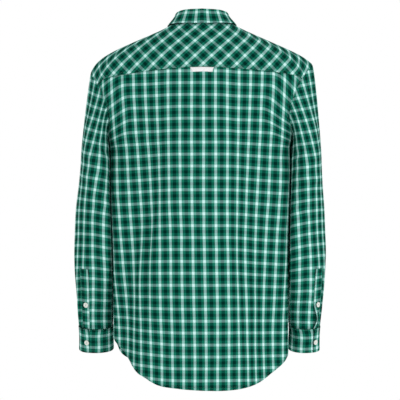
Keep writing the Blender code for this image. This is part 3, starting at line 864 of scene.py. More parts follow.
def mottled(name, stops, noise, look, place="Object"):
    """A finish whose colour wanders between stops through a noise."""
    m, tree, shader = new_material(name)
    where = node(tree, "TexCoord").outputs[place]
    specks = node(tree, "TexNoise", Vector=where, **noise).outputs["Fac"]
    feed(tree, shader, {"Base Color": ramp(tree, specks, stops), **look})
    return m


def poplin(name):
    m, tree, shader = new_material(name)
    flat = flat_place(tree)
    check = use_group(tree, CHECK_GROUP, Flat=flat)
    weave = use_group(tree, WEAVE_GROUP, Flat=flat)
    height = math_node(tree, "ADD", weave["Height"], check["Relief"])
    feed(tree, shader, {"Base Color": check["Color"],
                        "Normal": bump(tree, height, .35, .00008),
                        "Roughness": .82, "Specular IOR Level": .01,
                        "Sheen Weight": .002, "Sheen Roughness": .5})
    return m


POPLIN_CHECK = poplin("poplin check cloth")


def dress(thing, node_name, look=POPLIN_CHECK):
    """Give a piece its finish and hide the solid that it stands for."""
    thing.data.materials.append(look)
    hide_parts(node_name)


def panel(node_name, points, wall=POPLIN, flip=False, flat=None):
    """A piece of check cloth over one solid of the model."""
    thing = cloth(node_name + "_cloth", points, wall, flip, flat)
    dress(thing, node_name)
    return thing


print("materials:", POPLIN_CHECK.name)

# %% [markdown]
# ## Back
# One straight-grain cut.  Across it the flat position is the distance round the body
# from the centre, and up it the height, since the back hangs plumb.  As it is worn the
# cloth sags a little towards the sides and swings below the waist, and a short table
# says by how much.

# %% Back panel
BACK_GRAIN = table("z sag_left sag_right middle fold left right", """
-.100 .0000 -.0010 .0000 .0000 .0000 .0000
-.225 -.0010 -.0010 .0000 .0000 .0000 .0010
-.263 .0040 .0050 .0000 .0000 .0000 .0025
-.300 .0060 .0066 .0000 .0010 .0010 .0025
-.376 .0063 .0076 .0000 .0030 .0028 .0020
-.451 .0063 .0095 .0010 .0075 .0043 .0024
-.527 .0047 .0103 .0024 .0079 .0074 .0037
-.602 .0014 .0078 .0041 .0085 .0100 .0033
-.677 -.0050 .0080 .0057 .0110 .0116 .0013
-.752 -.0055 .0080 .0060 .0130 .0130 .0000""")
WARP_AT, WEFT_AT = -.0033, -.10876      # where two white lines cross on the back
FOLD_U, LEFT_U, RIGHT_U = .11, .18, .13     # the table's columns stand at these u
HEM_PUCKER, SIDE_PUCKER = dict(wave=.014, high=.00035), dict(wave=.013, high=.00025)
HEM_STEP = .00030, .0058, .0008
SAG_FROM, SAG_OVER = .05, .15


def centred(q, run):
    """Distance across a grid counted from the centre line."""
    return run - np.array([np.interp(0, a, b) for a, b in zip(q, run)])[:, None]


q, points, normal = surface(back_qv)
hem_away = run_along(points, 0)
seam_away = hem_away[-1] - hem_away
side_away = to_edge(run_along(points, 1))
flat_u = centred(q, run_along(points * (1, 1, 0), 1))
flat_v = run_along(points * (0, 1, 1), 0)
flat_v += UNDERARM - flat_v[LOW_ROWS]
lift = creases(flat_u, flat_v, BACK_CREASES) * ease(side_away / FADE) \
    * ease(seam_away / FADE)
lift += pucker(flat_u, seam_away, high=.00030, shift=.4)
lift += pucker(flat_u, hem_away - HEM_SEW, shift=1.3, **HEM_PUCKER)
lift += pucker(flat_v, side_away, shift=2.1, **SIDE_PUCKER)
lift += turned(hem_away, *HEM_STEP)
BACK_POINTS = pull_in(lifted(points, normal, lift), "high first last")
sag_left, sag_right, middle, fold, left, right = row(
    BACK_GRAIN, "z", points[..., 2], "sag_left", "sag_right", "middle", "fold", "left",
    "right")
to_fold = np.clip(flat_u / FOLD_U, 0, 1)
to_left = np.clip((flat_u - FOLD_U) / (LEFT_U - FOLD_U), 0, 1)
to_right = np.clip(-flat_u / RIGHT_U, 0, 1)
swing = middle * (1 - to_fold - to_right) + fold * (to_fold - to_left) \
    + left * to_left + right * to_right
sag = np.where(flat_u > 0, sag_left, sag_right) \
    * ease((np.abs(flat_u) - SAG_FROM) / SAG_OVER)
thing = panel("back", BACK_POINTS,
              flat=np.stack([flat_u + swing - WARP_AT, flat_v + sag - WEFT_AT], -1))
print("back:", len(thing.data.polygons), "faces")

# %% [markdown]
# ## Yoke
# One bias-cut piece over both shoulders: the check stands on its corner.  Its flat
# position is the distance round from the centre and the distance up from the seam, and
# both are then turned by 45 degrees.

# %% Yoke panel
YOKE_CROSSING = (-.0028, -.0571)        # where two white lines cross on the centre
q, points, normal = surface(yoke_qv)
run_out = run_along(points, 0)
lift = pucker(run_along(points, 1), run_out, high=.00030, shift=.9)
lift += turned(run_out, .00035, .0052, .0016)
YOKE_POINTS = pull_in(lifted(points, normal, lift), "low high first last")
across = centred(q, run_along(YOKE_POINTS * (1, 1, 0), 1)) - YOKE_CROSSING[0]
up_from = YOKE_POINTS[0, :, 2] + run_along(YOKE_POINTS * (0, 1, 1), 0) - YOKE_CROSSING[1]
yoke_flat = np.stack([across + up_from, up_from - across], -1) / math.sqrt(2)
panel("yoke", YOKE_POINTS, flat=yoke_flat)
print("yoke cut", np.round(np.ptp(yoke_flat, axis=(0, 1)), 3))

# %% [markdown]
# ## Fronts
# The left front laps over the right and carries a placket down its edge.  Both are cut
# with the warp straight down beside the buttons.

# %% Front panels
FRONT_POINTS = {}
CENTRE = LAP_COLUMNS // 2 + 1           # the centre front is this column from the edge
BESIDE_PLACKET, OVER_RISE = .02, .0010
PLUMB_ROW = 10                          # the warp is set from this row to the underarm
for side, sign in SIDES:
    q, points, normal = surface(front_qv[side])
    up_run, across = run_along(points, 0), run_along(points, 1)
    from_centre = across[:, -CENTRE][:, None] - across
    heights = points[0, :, 2] + up_run
    crease_v = heights + points[LOW_ROWS, :, 2] - heights[LOW_ROWS]
    edge = ease(across / FADE) * ease((up_run[-1] - up_run) / FADE) \
        * ease((from_centre - BESIDE_PLACKET) / FADE)
    lift = creases(from_centre, crease_v, FRONT_CREASES) * edge
    lift += pucker(crease_v, across, shift=sign + 3.0, **SIDE_PUCKER)
    lift += pucker(from_centre, up_run - HEM_SEW, shift=sign, **HEM_PUCKER)
    lift += turned(up_run, *HEM_STEP)
    if side == "left":                  # it rises where it passes over the right front
        lift += OVER_RISE * ease((.045 - from_centre) / .025)
    points = pull_in(lifted(points, normal, lift), "high first")
    FRONT_POINTS[side] = points
    thing = panel("front_" + side, points, flip=side == "right")
    n = points.shape[1]
    size = flatten(thing, (PLUMB_ROW + 1) * n - CENTRE, (LOW_ROWS + 1) * n - CENTRE,
                   PLUMB_ROW * n + 20,
                   (0.0, float(points[PLUMB_ROW, -CENTRE, 2]) - WEFT_AT))
    print(thing.name, "flat", size)

# %% Front placket
STRIP_PUCKER = dict(wave=.010, high=.00018, reach=.006)
PLACKET_RISE = .0019     # above the front's own surface
_, points, normal = surface(front_qv["left"][:, -LAP_COLUMNS:])
up_run, across = run_along(points, 0), run_along(points, 1)
edge_away = to_edge(across)
lift = PLACKET_RISE + pucker(up_run, edge_away - .005, **STRIP_PUCKER) \
    + turned(edge_away, .00025, .0055, .001)
PLACKET_POINTS = pull_in(lifted(points, normal, lift), "low high")
panel("front_placket", PLACKET_POINTS, STRIP, flat=np.stack(
    [across - across[:, 4:5], points[0, :, 2] + up_run - WEFT_AT], -1))
print("placket width:", round(float(across[40, -1]), 4))


# %% [markdown]
# ## Collar and stand
# The stand is a band round the neck; the collar rises from it, rolls over and falls
# almost straight to its edge.

# %% Collar stand
# The ring of the stand's upper edge.
STAND_TOP = table("q x y left right", """
0.0 .0000 .0545 .0230 .0230
0.5 .0385 .0392 .0222 .0220
1.0 .0540 .0030 .0165 .0172
1.5 .0392 -.0340 .0010 .0010
1.8 .0172 -.0472 -.0190 -.0190
2.0 .0000 -.0505 -.0270 -.0270""")


def neck_ring(rows, q):
    q = wrap(q)
    x, y = row(rows, "q", np.abs(q), "x", "y")
    return np.stack([np.sign(q) * x, y, by_side(rows, q)], -1)


def neck_outward(rows, q):
    ahead = neck_ring(rows, q + .02) - neck_ring(rows, q - .02)
    return unit(np.stack([-ahead[..., 1], ahead[..., 0], 0 * ahead[..., 0]], -1))


lap = LAP / .105         # the lap as a part of q on the neck's ring
q = np.linspace(-2 - lap, 2 + lap, 181)
# The left end passes over the right one, and its foot is raised by the placket.
over = ease((q - (2 - 2.6 * lap)) / (1.2 * lap)) * (BAND + CLEAR)
raised = ease((q - (2 - 3.4 * lap)) / (1.2 * lap)) * .0022
corner_drop, bulge = .007, .0032
foot = neck_ring(NECK, q) + neck_outward(NECK, q) * over[:, None]
foot[:, 2] += .0005 + raised
head = neck_ring(STAND_TOP, q) + neck_outward(STAND_TOP, q) * over[:, None]
head[:, 2] -= corner_drop * ease((np.abs(q) - (2 + .35 * lap)) / (.65 * lap)) ** 2
r = np.linspace(0, 1, 13)[:, None, None]
STAND_POINTS = foot + (head - foot) * r + neck_outward(NECK, q) * (bulge * r * (1 - r))
around = run_along(STAND_POINTS, 1)
panel("collar_stand", STAND_POINTS, DOUBLE, flat=np.stack(
    [around - around[:, 90:91] - CHECK / 2, run_along(STAND_POINTS, 0) + .004], -1))
print("stand length:", round(float(around[6, -1]), 4))

# %% Collar
# The collar's edge: c runs from the middle to the point, drop is how far it lies below
# the neck seam along the cloth, above how far it stands off the body.
COLLAR_EDGE = table("c q drop above", """
0.00 0.00 .0085 .0046
0.25 0.46 .0085 .0044
0.50 0.97 .0080 .0036
0.70 1.26 .0130 .0040
0.86 1.47 .0290 .0046
1.00 1.66 .0500 .0050""")
COLLAR_PUCKER = dict(wave=.009, high=.00016, reach=.006)
ROLL, RISE = .0031, .0028               # radius of the roll, and where it starts
POINT_Q = 1.955                         # the points stand this far round
PART = .3                               # the share of v over which its length is taken
LEAN_OUT, LEAVE, ARRIVE = .35, .8, 1.05     # how the fall bends from roll to edge
c = np.linspace(-1, 1, 141)
q = c * POINT_Q
top, out, up = neck_ring(STAND_TOP, q), neck_outward(STAND_TOP, q), np.array([0, 0, 1.0])
rows_out = [top - out * BAND + up * z for z in (.0010, .0019, RISE)]
for a in np.radians(np.arange(20, 181, 20)):
    rows_out.append(top + out * (ROLL - BAND - ROLL * math.cos(a))
                    + up * (RISE + ROLL * math.sin(a)))
eq, drop, above = row(COLLAR_EDGE, "c", np.abs(c), "q", "drop", "above")
length = np.array([run_of(body(np.full(13, a), np.linspace(1 - PART, 1, 13)))[-1]
                   / PART for a in eq])
v = 1 - drop / length
eq = np.sign(c) * eq
edge = body(eq, v) + body_normal(eq, v) * above[:, None]
begin = rows_out[-1]
chord = np.linalg.norm(edge - begin, axis=1)[:, None]
leave = unit(out * LEAN_OUT - up) * chord * LEAVE
for t in np.linspace(0, 1, 29)[1:]:
    rows_out.append(hermite(begin, leave, edge, (edge - begin) * ARRIVE, t))
points = np.array(rows_out)
down_run, around = run_along(points, 0), run_along(points, 1)
lift = pucker(around, down_run[-1] - down_run - .004, shift=.7, **COLLAR_PUCKER)
lift += pucker(down_run, to_edge(around) - .004, shift=1.7, **COLLAR_PUCKER)
lift *= ease((down_run - .014) / .006)
COLLAR_POINTS = lifted(points, -grid_normals(points), lift)
thing = panel("collar", COLLAR_POINTS, DOUBLE, flip=True)
rows_n, n = COLLAR_POINTS.shape[:2]
low = (rows_n - 1) * n + n // 2         # the middle of the collar's edge
size = flatten(thing, low, 14 * n + n // 2, low + 8, (CHECK / 2, -.0030))
print("collar flat", size)

# %% [markdown]
# ## Sleeves
# A sleeve is one cut, closed by a seam under the arm.  Its head leaves the armhole in
# line with the body's cloth, rolls over and drops; the elbow is a little bent.

# %% Sleeve surface
# Rings of a sleeve: depth from front to back, recede and drop tilt the ring.
SLEEVE = table("z y in_left out_left in_right out_right depth recede drop", """
-0.300 .001 .1890 .2625 .1880 .2605 .084 .15 .00
-0.345 -.003 .1870 .2669 .1860 .2646 .075 .30 .00
-0.400 -.008 .1830 .2736 .1820 .2710 .062 .45 .02
-0.455 -.013 .1800 .2768 .1785 .2747 .054 .50 .05
-0.494 -.017 .1790 .2782 .1775 .2761 .051 .40 .08
-0.538 -.022 .1800 .2763 .1780 .2737 .049 .20 .10
-0.587 -.028 .1860 .2717 .1820 .2696 .046 .05 .12
-0.635 -.034 .1900 .2687 .1880 .2643 .043 .00 .13
-0.655 -.037 .1915 .2674 .1930 .2624 .041 .00 .14
-0.7075 -.045 .1910 .2668 .1930 .2613 .039 .00 .15""")
# A sleeve hangs clear of the side by a gap, swings out below, and bends away softly.
SLEEVE_GAP, BESIDE, SWING, BEND_AWAY = 0.0014, 0.005, 0.003, 0.003
FIRST_RING = -.300       # height where the head has become a ring
HEAD_OUT, HEAD_SHARE, HEAD_DROP = .025, .42, .92    # how the head rolls over and falls
CORNER_ANGLE = 38.0      # where a sleeve's ring passes from the cap to the sides
CAP_STEPS = np.linspace(0, 1, 36) ** 1.4
RING_HEIGHTS = np.linspace(-.305, -.6545, 66)
SIDE_COLUMNS = slice(55, 125)           # the part of QS that a sleeve can touch
SIGN = dict(SIDES)
RING_ANGLES = np.r_[np.linspace(180, CORNER_ANGLE, ARM_ROWS + 1),
                    np.linspace(CORNER_ANGLE, -CORNER_ANGLE, CAP_COLUMNS + 1)[1:],
                    np.linspace(-CORNER_ANGLE, -180, ARM_ROWS + 1)[1:]]


def side_x(side, y, z):
    """Half width of the body at a depth and height below the underarm."""
    fv = np.clip((z - LOWEST) / (UNDERARM - LOWEST), 0, 1) * (len(LOW) - 1)
    j = int(min(fv, len(LOW) - 2))
    part = (LINES[side][j] * (1 - fv + j) + LINES[side][j + 1] * (fv - j))[SIDE_COLUMNS]
    return np.interp(-y, -part[:, 1], np.abs(part[:, 0]))


def sleeve_ring(side, z, angles, out=0.0):
    """One ring of a sleeve, kept clear of the body's side."""
    y, inner, outer, depth, recede, drop = row(
        SLEEVE, "z", z, "y", "in_" + side, "out_" + side, "depth", "recede", "drop")
    middle = (inner + outer) / 2 + SIGN[side] * SWING * ease((-.25 - z) / .2)
    a = np.radians(angles)
    px = middle + ((outer - inner) / 2 + out) * np.cos(a)
    py = y + (depth + out) * np.sin(a) - recede * (px - middle)
    pz = z - drop * (py - y)
    near = side_x(side, np.minimum(py, BESIDE), z) + SLEEVE_GAP
    gap = px - near
    px = near + (gap + np.sqrt(gap * gap + BEND_AWAY ** 2)) / 2
    return np.stack([SIGN[side] * px, py, pz], 1)


def sleeve_middle(side, z):
    return sleeve_ring(side, z, np.array([0., 180.])).mean(0)


def sleeve_grid(side, sign):
    loop = np.concatenate([arm_edge(rows, sign, count)[:-1] for rows, count in (
        (ARM_BACK, ARM_ROWS), (ARM_TOP, CAP_COLUMNS), (ARM_FRONT, ARM_ROWS))])
    _, hole, normal = surface(loop)
    ahead = unit(np.roll(hole, -1, 0) - np.roll(hole, 1, 0))
    into = unit(np.cross(normal, ahead))
    into *= np.sign((into * (hole.mean(0) - hole)).sum(1))[:, None]
    start = hole + into * SEAM
    start, into = np.vstack([start, start[:1]]), np.vstack([into, into[:1]])
    first = sleeve_ring(side, FIRST_RING, RING_ANGLES)
    chord = np.linalg.norm(first - start, axis=1)[:, None]
    leave = into * np.minimum(HEAD_OUT, HEAD_SHARE * chord)
    arrive = np.array([0, 0, -1.0]) * HEAD_DROP * chord
    rings = [hermite(start, leave, first, arrive, t) for t in CAP_STEPS]
    rings += [sleeve_ring(side, z, RING_ANGLES) for z in RING_HEIGHTS]
    return np.array(rings)


print("ring columns:", len(RING_ANGLES))

# %% Sleeve folds
# Places on a sleeve: a is the angle round it times 1.05 mm a degree (0 outside, 94.5 mm
# the back, minus for the front), and z the height.
DEGREE = .00105
SLEEVE_CREASES = table("a0 z0 a1 z1 wide deep bow", """
.150 -.285 .085 -.235 .008 -.0030 .006
.140 -.310 .060 -.280 .009 .0024 .008
.120 -.345 .030 -.330 .010 .0020 -.006
.150 -.365 .075 -.400 .009 -.0024 .006
.035 -.180 .050 -.320 .014 .0018 .006
.010 -.120 .020 -.220 .011 -.0016 .004
.070 -.420 .060 -.560 .013 .0020 .006
.148 -.470 .138 -.600 .010 -.0036 .004
.100 -.500 .085 -.630 .011 -.0020 -.004
.125 -.450 .140 -.610 .012 .0024 .005
-.150 -.300 -.080 -.270 .009 -.0030 -.006
-.150 -.380 -.060 -.430 .009 .0030 .006
-.140 -.415 -.070 -.450 .008 -.0034 -.004
-.130 -.445 -.050 -.465 .009 .0026 .004
-.060 -.500 -.050 -.630 .012 .0020 .005
-.020 -.360 -.010 -.560 .014 -.0016 .006
.020 -.590 .024 -.655 .007 .0016 .001
.098 -.600 .100 -.656 .007 .0016 .001
-.070 -.600 -.068 -.656 .007 .0018 .001""")
SLEEVE_GRAIN = table("z lean_left lean_right slip_left slip_right", """
-.080 .14 .34 -.0013 .0000
-.180 .14 .33 -.0013 .0000
-.225 .14 .24 -.0013 .0000
-.270 .14 .17 -.0010 .0000
-.310 .14 .085 .0005 .0000
-.350 .12 .055 .0013 .0000
-.400 .05 .060 .0013 .0000
-.460 .00 .055 .0013 .0000
-.528 .00 .040 .0000 .0000
-.560 .00 .000 -.0020 .0000
-.590 .00 -.050 -.0037 .0000
-.620 .00 -.050 -.0065 -.0030
-.650 .00 -.050 -.0080 -.0060
-.700 .00 -.050 -.0085 -.0060""")


def nearest(values, at):
    return int(np.argmin(np.abs(values - at)))


def sleeve_cut(side, points, normal):
    """Flat positions on a sleeve whose warp runs down it and leans outwards."""
    start = len(CAP_STEPS) - 1
    lean, slip = row(SLEEVE_GRAIN, "z", points[..., 2], "lean_" + side, "slip_" + side)
    lean = np.arctan(lean)
    around = run_along(points, 1)
    around -= around[:, nearest(RING_ANGLES, 90)][:, None]
    step = np.diff(run_along(points, 0), axis=0)
    half = (lean[1:] + lean[:-1]) / 2
    out_run, down_run = (np.vstack([0 * step[:1], np.cumsum(step * way(half), 0)])
                         for way in (np.sin, np.cos))
    turn = lean.mean(1, keepdims=True)
    flat = np.stack([around * np.cos(turn) - (out_run - out_run[start]),
                     -around * np.sin(turn) - (down_run - down_run[start])], -1)
    for i in range(start - 1, -1, -1):      # the head, row by row up to the armhole
        n = unit(normal[i] + normal[i + 1])
        down = np.stack([SIGN[side] * np.sin(lean[i]), 0 * lean[i], -np.cos(lean[i])], -1)
        down = unit(down - n * (down * n).sum(-1, keepdims=True))
        outward = np.cross(down, n)
        outward *= np.sign((outward * np.gradient(points[i], axis=0)).sum(
            -1, keepdims=True))
        rise = points[i] - points[i + 1]
        flat[i] = flat[i + 1] + np.stack([(rise * outward).sum(-1),
                                          -(rise * down).sum(-1)], -1)
    flat[..., 1] += slip
    return flat


SLEEVE_PLACE = {"left": (.0103, .0093), "right": (.0030, .0102)}
SIDE_CLEAR = .0012                      # a fold keeps this far from the body's side
LOWER_BY = {"left": 0.0, "right": .008}     # the right sleeve's folds lie lower
HEAD_PUCKER = dict(wave=.014, high=.00040, reach=.012)
END_PUCKER = dict(wave=.011, high=.00045, reach=.016)
BARE, SLEEVE_POINTS = {}, {}            # a sleeve before and after its folds
for side, sign in SIDES:
    points = sleeve_grid(side, sign)
    normal = grid_normals(points) * -sign
    normal[:, 0] = normal[:, -1] = unit(normal[:, 0] + normal[:, -1])
    BARE[side] = points, normal
    down_run = run_along(points, 0)
    up_run = down_run[-1] - down_run
    a = np.broadcast_to(RING_ANGLES * DEGREE, points.shape[:2])
    seam = np.minimum(np.arange(points.shape[1]), np.arange(points.shape[1])[::-1])
    edge = ease(down_run / FADE) * ease(up_run / .012) * ease(seam / 5)
    lift = creases(a, points[..., 2] + LOWER_BY[side], SLEEVE_CREASES) * edge
    column = np.cumsum(np.full(points.shape[:2], .006), 1)
    lift += pucker(column, down_run, shift=sign + .5, **HEAD_PUCKER)
    lift += pucker(a, up_run, shift=sign + 2.5, **END_PUCKER)
    moved = lifted(points, normal, lift)
    limit = SIDE_CLEAR + np.array(
        [side_x(side, np.minimum(p[:, 1], BESIDE),
                float(np.clip(p[:, 2].mean(), LOWEST + .01, UNDERARM))) for p in moved])
    inside = (moved[..., 2] < UNDERARM - .005) & (moved[..., 0] * sign < limit)
    moved[..., 0] = np.where(inside, sign * limit, moved[..., 0])
    points = pull_in(moved, "first last")
    SLEEVE_POINTS[side] = points
    flat = sleeve_cut(side, points, normal) + SLEEVE_PLACE[side]
    thing = panel("sleeve_" + side, points, flip=side == "left", flat=flat)
    print(thing.name, "cut", np.round(np.ptp(flat, axis=(0, 1)), 3))


# %% [markdown]
# ## Cuffs and sleeve plackets
# A cuff is a band whose outer end laps over the other and buttons.  Above it a narrow
# strip covers the slit, and on the right sleeve it gapes a little.

# %% Cuffs
CUFF_TOP, CUFF_END = -0.6550, -0.7075
CUFF_START = {"left": 71.0, "right": 60.0}
CUFF_TURN = 394          # degrees, a whole turn and the lap
CUFF_GAP, CUFF_OUT = .0008, .0008       # below the sleeve's end, and out of its ring
LAP_RISE, LAP_FROM = 46, .35            # degrees over which the outer end comes down


def cuff_grid(side):
    angles = np.linspace(CUFF_START[side], CUFF_START[side] - CUFF_TURN, 151)
    down = ease((CUFF_START[side] - angles) / LAP_RISE - LAP_FROM)
    lift = (BAND + CLEAR) * (1 - down)
    rows_out = []
    for z in np.linspace(CUFF_TOP - CUFF_GAP, CUFF_END, 21):
        ring = sleeve_ring(side, z, angles, CUFF_OUT)
        away = unit((ring - sleeve_middle(side, z)) * (1, 1, 0))
        rows_out.append(ring + away * lift[:, None])
    return np.array(rows_out)


BAND_WAVE = .0006        # a cuff is never quite round
CUFF_PLACE = {"left": (.0144, .0150), "right": (.0040, .0185)}
CUFF_POINTS = {}
for side, sign in SIDES:
    points = cuff_grid(side)
    down_run, around = run_along(points, 0), run_along(points, 1)
    lift = pucker(around, to_edge(down_run, 0) - EDGE_SEW, wave=.010, high=.00016,
                  reach=.006, shift=sign)
    lift -= BAND_WAVE * np.sin(np.pi * down_run / down_run[-1]) * np.sin(around / .037)
    points = lifted(points, grid_normals(points) * -sign, lift)
    CUFF_POINTS[side] = points
    flat = np.stack([around - around[:, 50:51], -down_run], -1) + CUFF_PLACE[side]
    thing = panel("cuff_" + side, points, DOUBLE, flip=side == "left", flat=flat)
    print(thing.name, "length", round(float(around[10, -1]), 4))

# %% Sleeve plackets
STRIP_AT = {"left": (74, 47), "right": (62, 37)}    # its two edges, in degrees
STRIP_TOP, STRIP_RISE = -.527, .0012
GAPE_LIFT, GAPE_IN = .0060, .0085       # the right one's free edge, out and across
STRIP_POINTS = {}
first = len(CAP_STEPS) + nearest(RING_HEIGHTS, STRIP_TOP)
for side, sign in SIDES:
    high_col, low_col = (nearest(RING_ANGLES, at) for at in STRIP_AT[side])
    strip, away, base = (grid[first:, high_col:low_col + 1]
                         for grid in (*BARE[side], SLEEVE_POINTS[side]))
    down_run, across = run_along(strip, 0), run_along(strip, 1)
    edge_away = to_edge(across)
    lift = STRIP_RISE + pucker(down_run, edge_away - .003, **STRIP_PUCKER)
    lift += turned(edge_away, .00025, .0032, .001)
    lift += np.einsum("ijk,ijk->ij", base - strip, away)
    if side == "right":                 # it gapes by lifting and drawing in its edge
        t = down_run / down_run[-1]
        gape = ease((t - .55) / .28) * ease((1.06 - t) / .22)
        free = np.clip(1 - across / across[:, -1:] * 1.25, 0, 1)
        lift += GAPE_LIFT * gape * free ** 1.3
        inwards = unit(strip[:, -1:] - strip[:, :1])
        strip = strip + inwards * (GAPE_IN * gape * free)[..., None]
    strip = lifted(strip, away, lift)
    STRIP_POINTS[side] = strip
    thing = panel("sleeve_placket_" + side, strip, STRIP, flip=side == "left",
                  flat=np.stack([across - .0015, -down_run - .006], -1))
    print(thing.name, "width", round(float(across[8, -1]), 4),
          "length", round(float(down_run[-1, 3]), 4))

# %% [markdown]
# ## Hanger loop
# A short woven tape at the middle of the yoke seam.  It is plain, a little bowed, and
# its ends are sewn.

# %% Tape material and loop
def tape_material():
    m, tree, shader = new_material("white woven tape with painted rib shade")
    wave = node(tree, "TexWave", Scale=340, Distortion=.6, Vector=flat_place(tree))
    wave.bands_direction = "DIAGONAL"
    rib_height_and_shade = wave.outputs["Fac"]
    # The colour follows the rib's height and is greyer where it sinks: painted shade in the
    # grooves of a white tape, over the bump.
    colour = ramp(tree, rib_height_and_shade, ((0, (.66, .66, .67)), (1, (.84, .84, .84))))
    feed(tree, shader, {"Base Color": colour, "Normal": bump(tree, rib_height_and_shade, .5, .00012),
                        "Roughness": .7, "Sheen Weight": .15})
    return m


TAPE = tape_material()
TAPE_HALF, TAPE_TALL, TAPE_WALL = .098, .0096, .0007    # half its length is in q
TAPE_OUT, TAPE_BOW = .0013, .0013
across = np.linspace(-TAPE_HALF, TAPE_HALF, 49)
rows_out = []
for t in np.linspace(0, 1, 13):
    qs = across * (1 - .13 * t)
    seam_z = by_side(YOKE_SEAM, qs) - .0004 - TAPE_TALL * t
    vs = np.array([v_at(a, z) for a, z in zip(qs, seam_z)])
    end = 1 - np.abs(across) / TAPE_HALF
    bow = TAPE_BOW * math.sin(math.pi * min(t * 1.1, 1)) * ease(end / .25)
    rows_out.append(body(qs, vs) + np.array([0, 1.0, 0]) * (TAPE_OUT + bow)[:, None])
LOOP_POINTS = np.array(rows_out)[::-1]
flat = np.stack([run_along(LOOP_POINTS, 1), run_along(LOOP_POINTS, 0)], -1)
thing = cloth("hanger_loop_tape", LOOP_POINTS, TAPE_WALL, False, flat)
dress(thing, "hanger_loop", look=TAPE)
print("loop:", round(float(flat[6, -1, 0]), 4), "by", round(float(flat[-1, 24, 1]), 4))

# %% [markdown]
# ## Sewing
# Lock stitches are short and slightly sunk, about four to the centimetre.  Each one is
# a small spindle of thread laid along a line that keeps its distance from an edge.

# %% Stitch helpers
STITCH_SHAPE = ((0, .25, -.3), (.18, .85, .6), (.5, 1, 1), (.82, .85, .6), (1, .25, -.3))
STITCHES = [], []        # the points and the faces of every stitch


def rods(store, a, b, out, thick, shape, sides, phase, sink=0.0):
    """Add short rods of thread from points a to points b, arched towards out.

    Each row of shape is a place along the rod, its width and its rise."""
    points, faces = store
    side = unit(np.cross(unit(b - a), out))
    first, n, last = sum(map(len, points)), len(a), len(shape) - 1
    for t, width, rise in shape:
        centre = a + (b - a) * t + out * (thick * rise - sink)
        for k in range(sides):
            w = 2 * math.pi * (k + phase) / sides
            points.append(centre + (side * math.cos(w) + out * math.sin(w))
                          * thick * width)
    walls = [((r, k), (r, k + 1), (r + 1, k + 1), (r + 1, k))
             for r in range(last) for k in range(sides)]
    walls += [[(0, k) for k in reversed(range(sides))], [(last, k) for k in range(sides)]]
    for s in range(n):
        faces.extend([first + (r * sides + k % sides) * n + s for r, k in wall]
                     for wall in walls)


def sew(line, outward, pitch=.0027, length=.0020, thick=.00021, sink=.00002):
    """Lay stitches along a line; outward is a direction for each of its points."""
    run = run_of(line)
    starts = np.arange(pitch * .3, run[-1] - length, pitch)

    def at(s, values):
        return np.stack([np.interp(s, run, column) for column in values.T], -1)

    rods(STITCHES, at(starts, line), at(starts + length, line), unit(at(starts, outward)),
         thick, STITCH_SHAPE, 4, .5, sink)
    return len(starts)


def sew_edge(points, side, distance, flip=False, part=slice(None), **more):
    """Sew along a grid at one distance from an edge."""
    p = edge_first(points, side)
    outward = edge_first(grid_normals(points) * (-1 if flip else 1), side)[1]
    return sew(read_columns(p, run_along(p, 0), distance)[part], outward[part], **more)


print("stitch helpers ready")

# %% Sew the seams
BODICE, ARM = slice(LOW_ROWS, None), slice(LOW_ROWS, LOW_ROWS + ARM_ROWS)
BETWEEN_ARMS = slice(CAP_COLUMNS, -CAP_COLUMNS)
count = sew_edge(BACK_POINTS, "low", HEM_SEW)
for gap in (TOP_SEW, HEM_SEW):
    count += sew_edge(YOKE_POINTS, "low", gap, part=BETWEEN_ARMS)
for near in ("first", "last"):
    count += sew_edge(YOKE_POINTS, near, TOP_SEW)
for side, sign in SIDES:
    right, left = sign < 0, sign > 0
    count += sew_edge(FRONT_POINTS[side], "low", HEM_SEW, flip=right)
    count += sew_edge(BACK_POINTS, "first" if right else "last", HEM_SEW, part=BODICE)
    count += sew_edge(FRONT_POINTS[side], "first", HEM_SEW, flip=right, part=ARM)
    for near in ("first", "last", "low"):
        count += sew_edge(STRIP_POINTS[side], near, BAND_SEW, flip=left)
    for near, gap in (("low", BAND_SEW), ("high", EDGE_SEW), ("first", EDGE_SEW),
                      ("last", EDGE_SEW)):
        count += sew_edge(CUFF_POINTS[side], near, gap, flip=left)
for near in ("first", "last"):
    count += sew_edge(PLACKET_POINTS, near, .0055)
    count += sew_edge(COLLAR_POINTS, near, EDGE_SEW, flip=True, part=slice(18, -3))
count += sew_edge(COLLAR_POINTS, "high", EDGE_SEW, flip=True, part=slice(4, -4))
count += sew_edge(STAND_POINTS, "low", BAND_SEW)
for near in ("first", "last"):
    count += sew_edge(LOOP_POINTS, near, .0016, thick=.00016)
print("stitches:", count)


def thread_mesh(name, store, look, colour):
    """One mesh of all the rods in a store, in a thread whose colour wanders."""
    thing = mesh_object(name, np.concatenate(store[0]), store[1])
    stops = ((0, [c * .7 for c in colour]), (1, [min(c * 1.25, 1) for c in colour]))
    thing.data.materials.append(mottled(look, stops, dict(Scale=900),
                                        {"Roughness": .6, "Sheen Weight": .2}))
    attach(thing, "root")
    print(name, len(thing.data.polygons), "faces")


thread_mesh("green_stitches", STITCHES, "green thread", (.030, .230, .150))

# %% [markdown]
# ## Buttons
# Each is a turned disc with a rim, a dished face and four holes, sewn with crossed
# thread.  The disc is a filled curve with real holes; the rim is a turned ring.

# %% Button mesh
BUTTON_R = 0.0057
HOLE_R, HOLE_OUT = .00062, .00115
HOLES = [(x * HOLE_OUT, y * HOLE_OUT) for x in (-1, 1) for y in (-1, 1)]
RIM = ((.0014, -.0007), (.0006, -.0012), (.0001, -.0006), (0, .0002), (.0003, .0009),
       (.0009, .0012), (.0015, .0008), (.0019, .0003))      # in from the edge, and up
RIM_STEPS = 32


def circle(r, count):
    return [(r * math.cos(a), r * math.sin(a))
            for a in (2 * math.pi * k / count for k in range(count))]


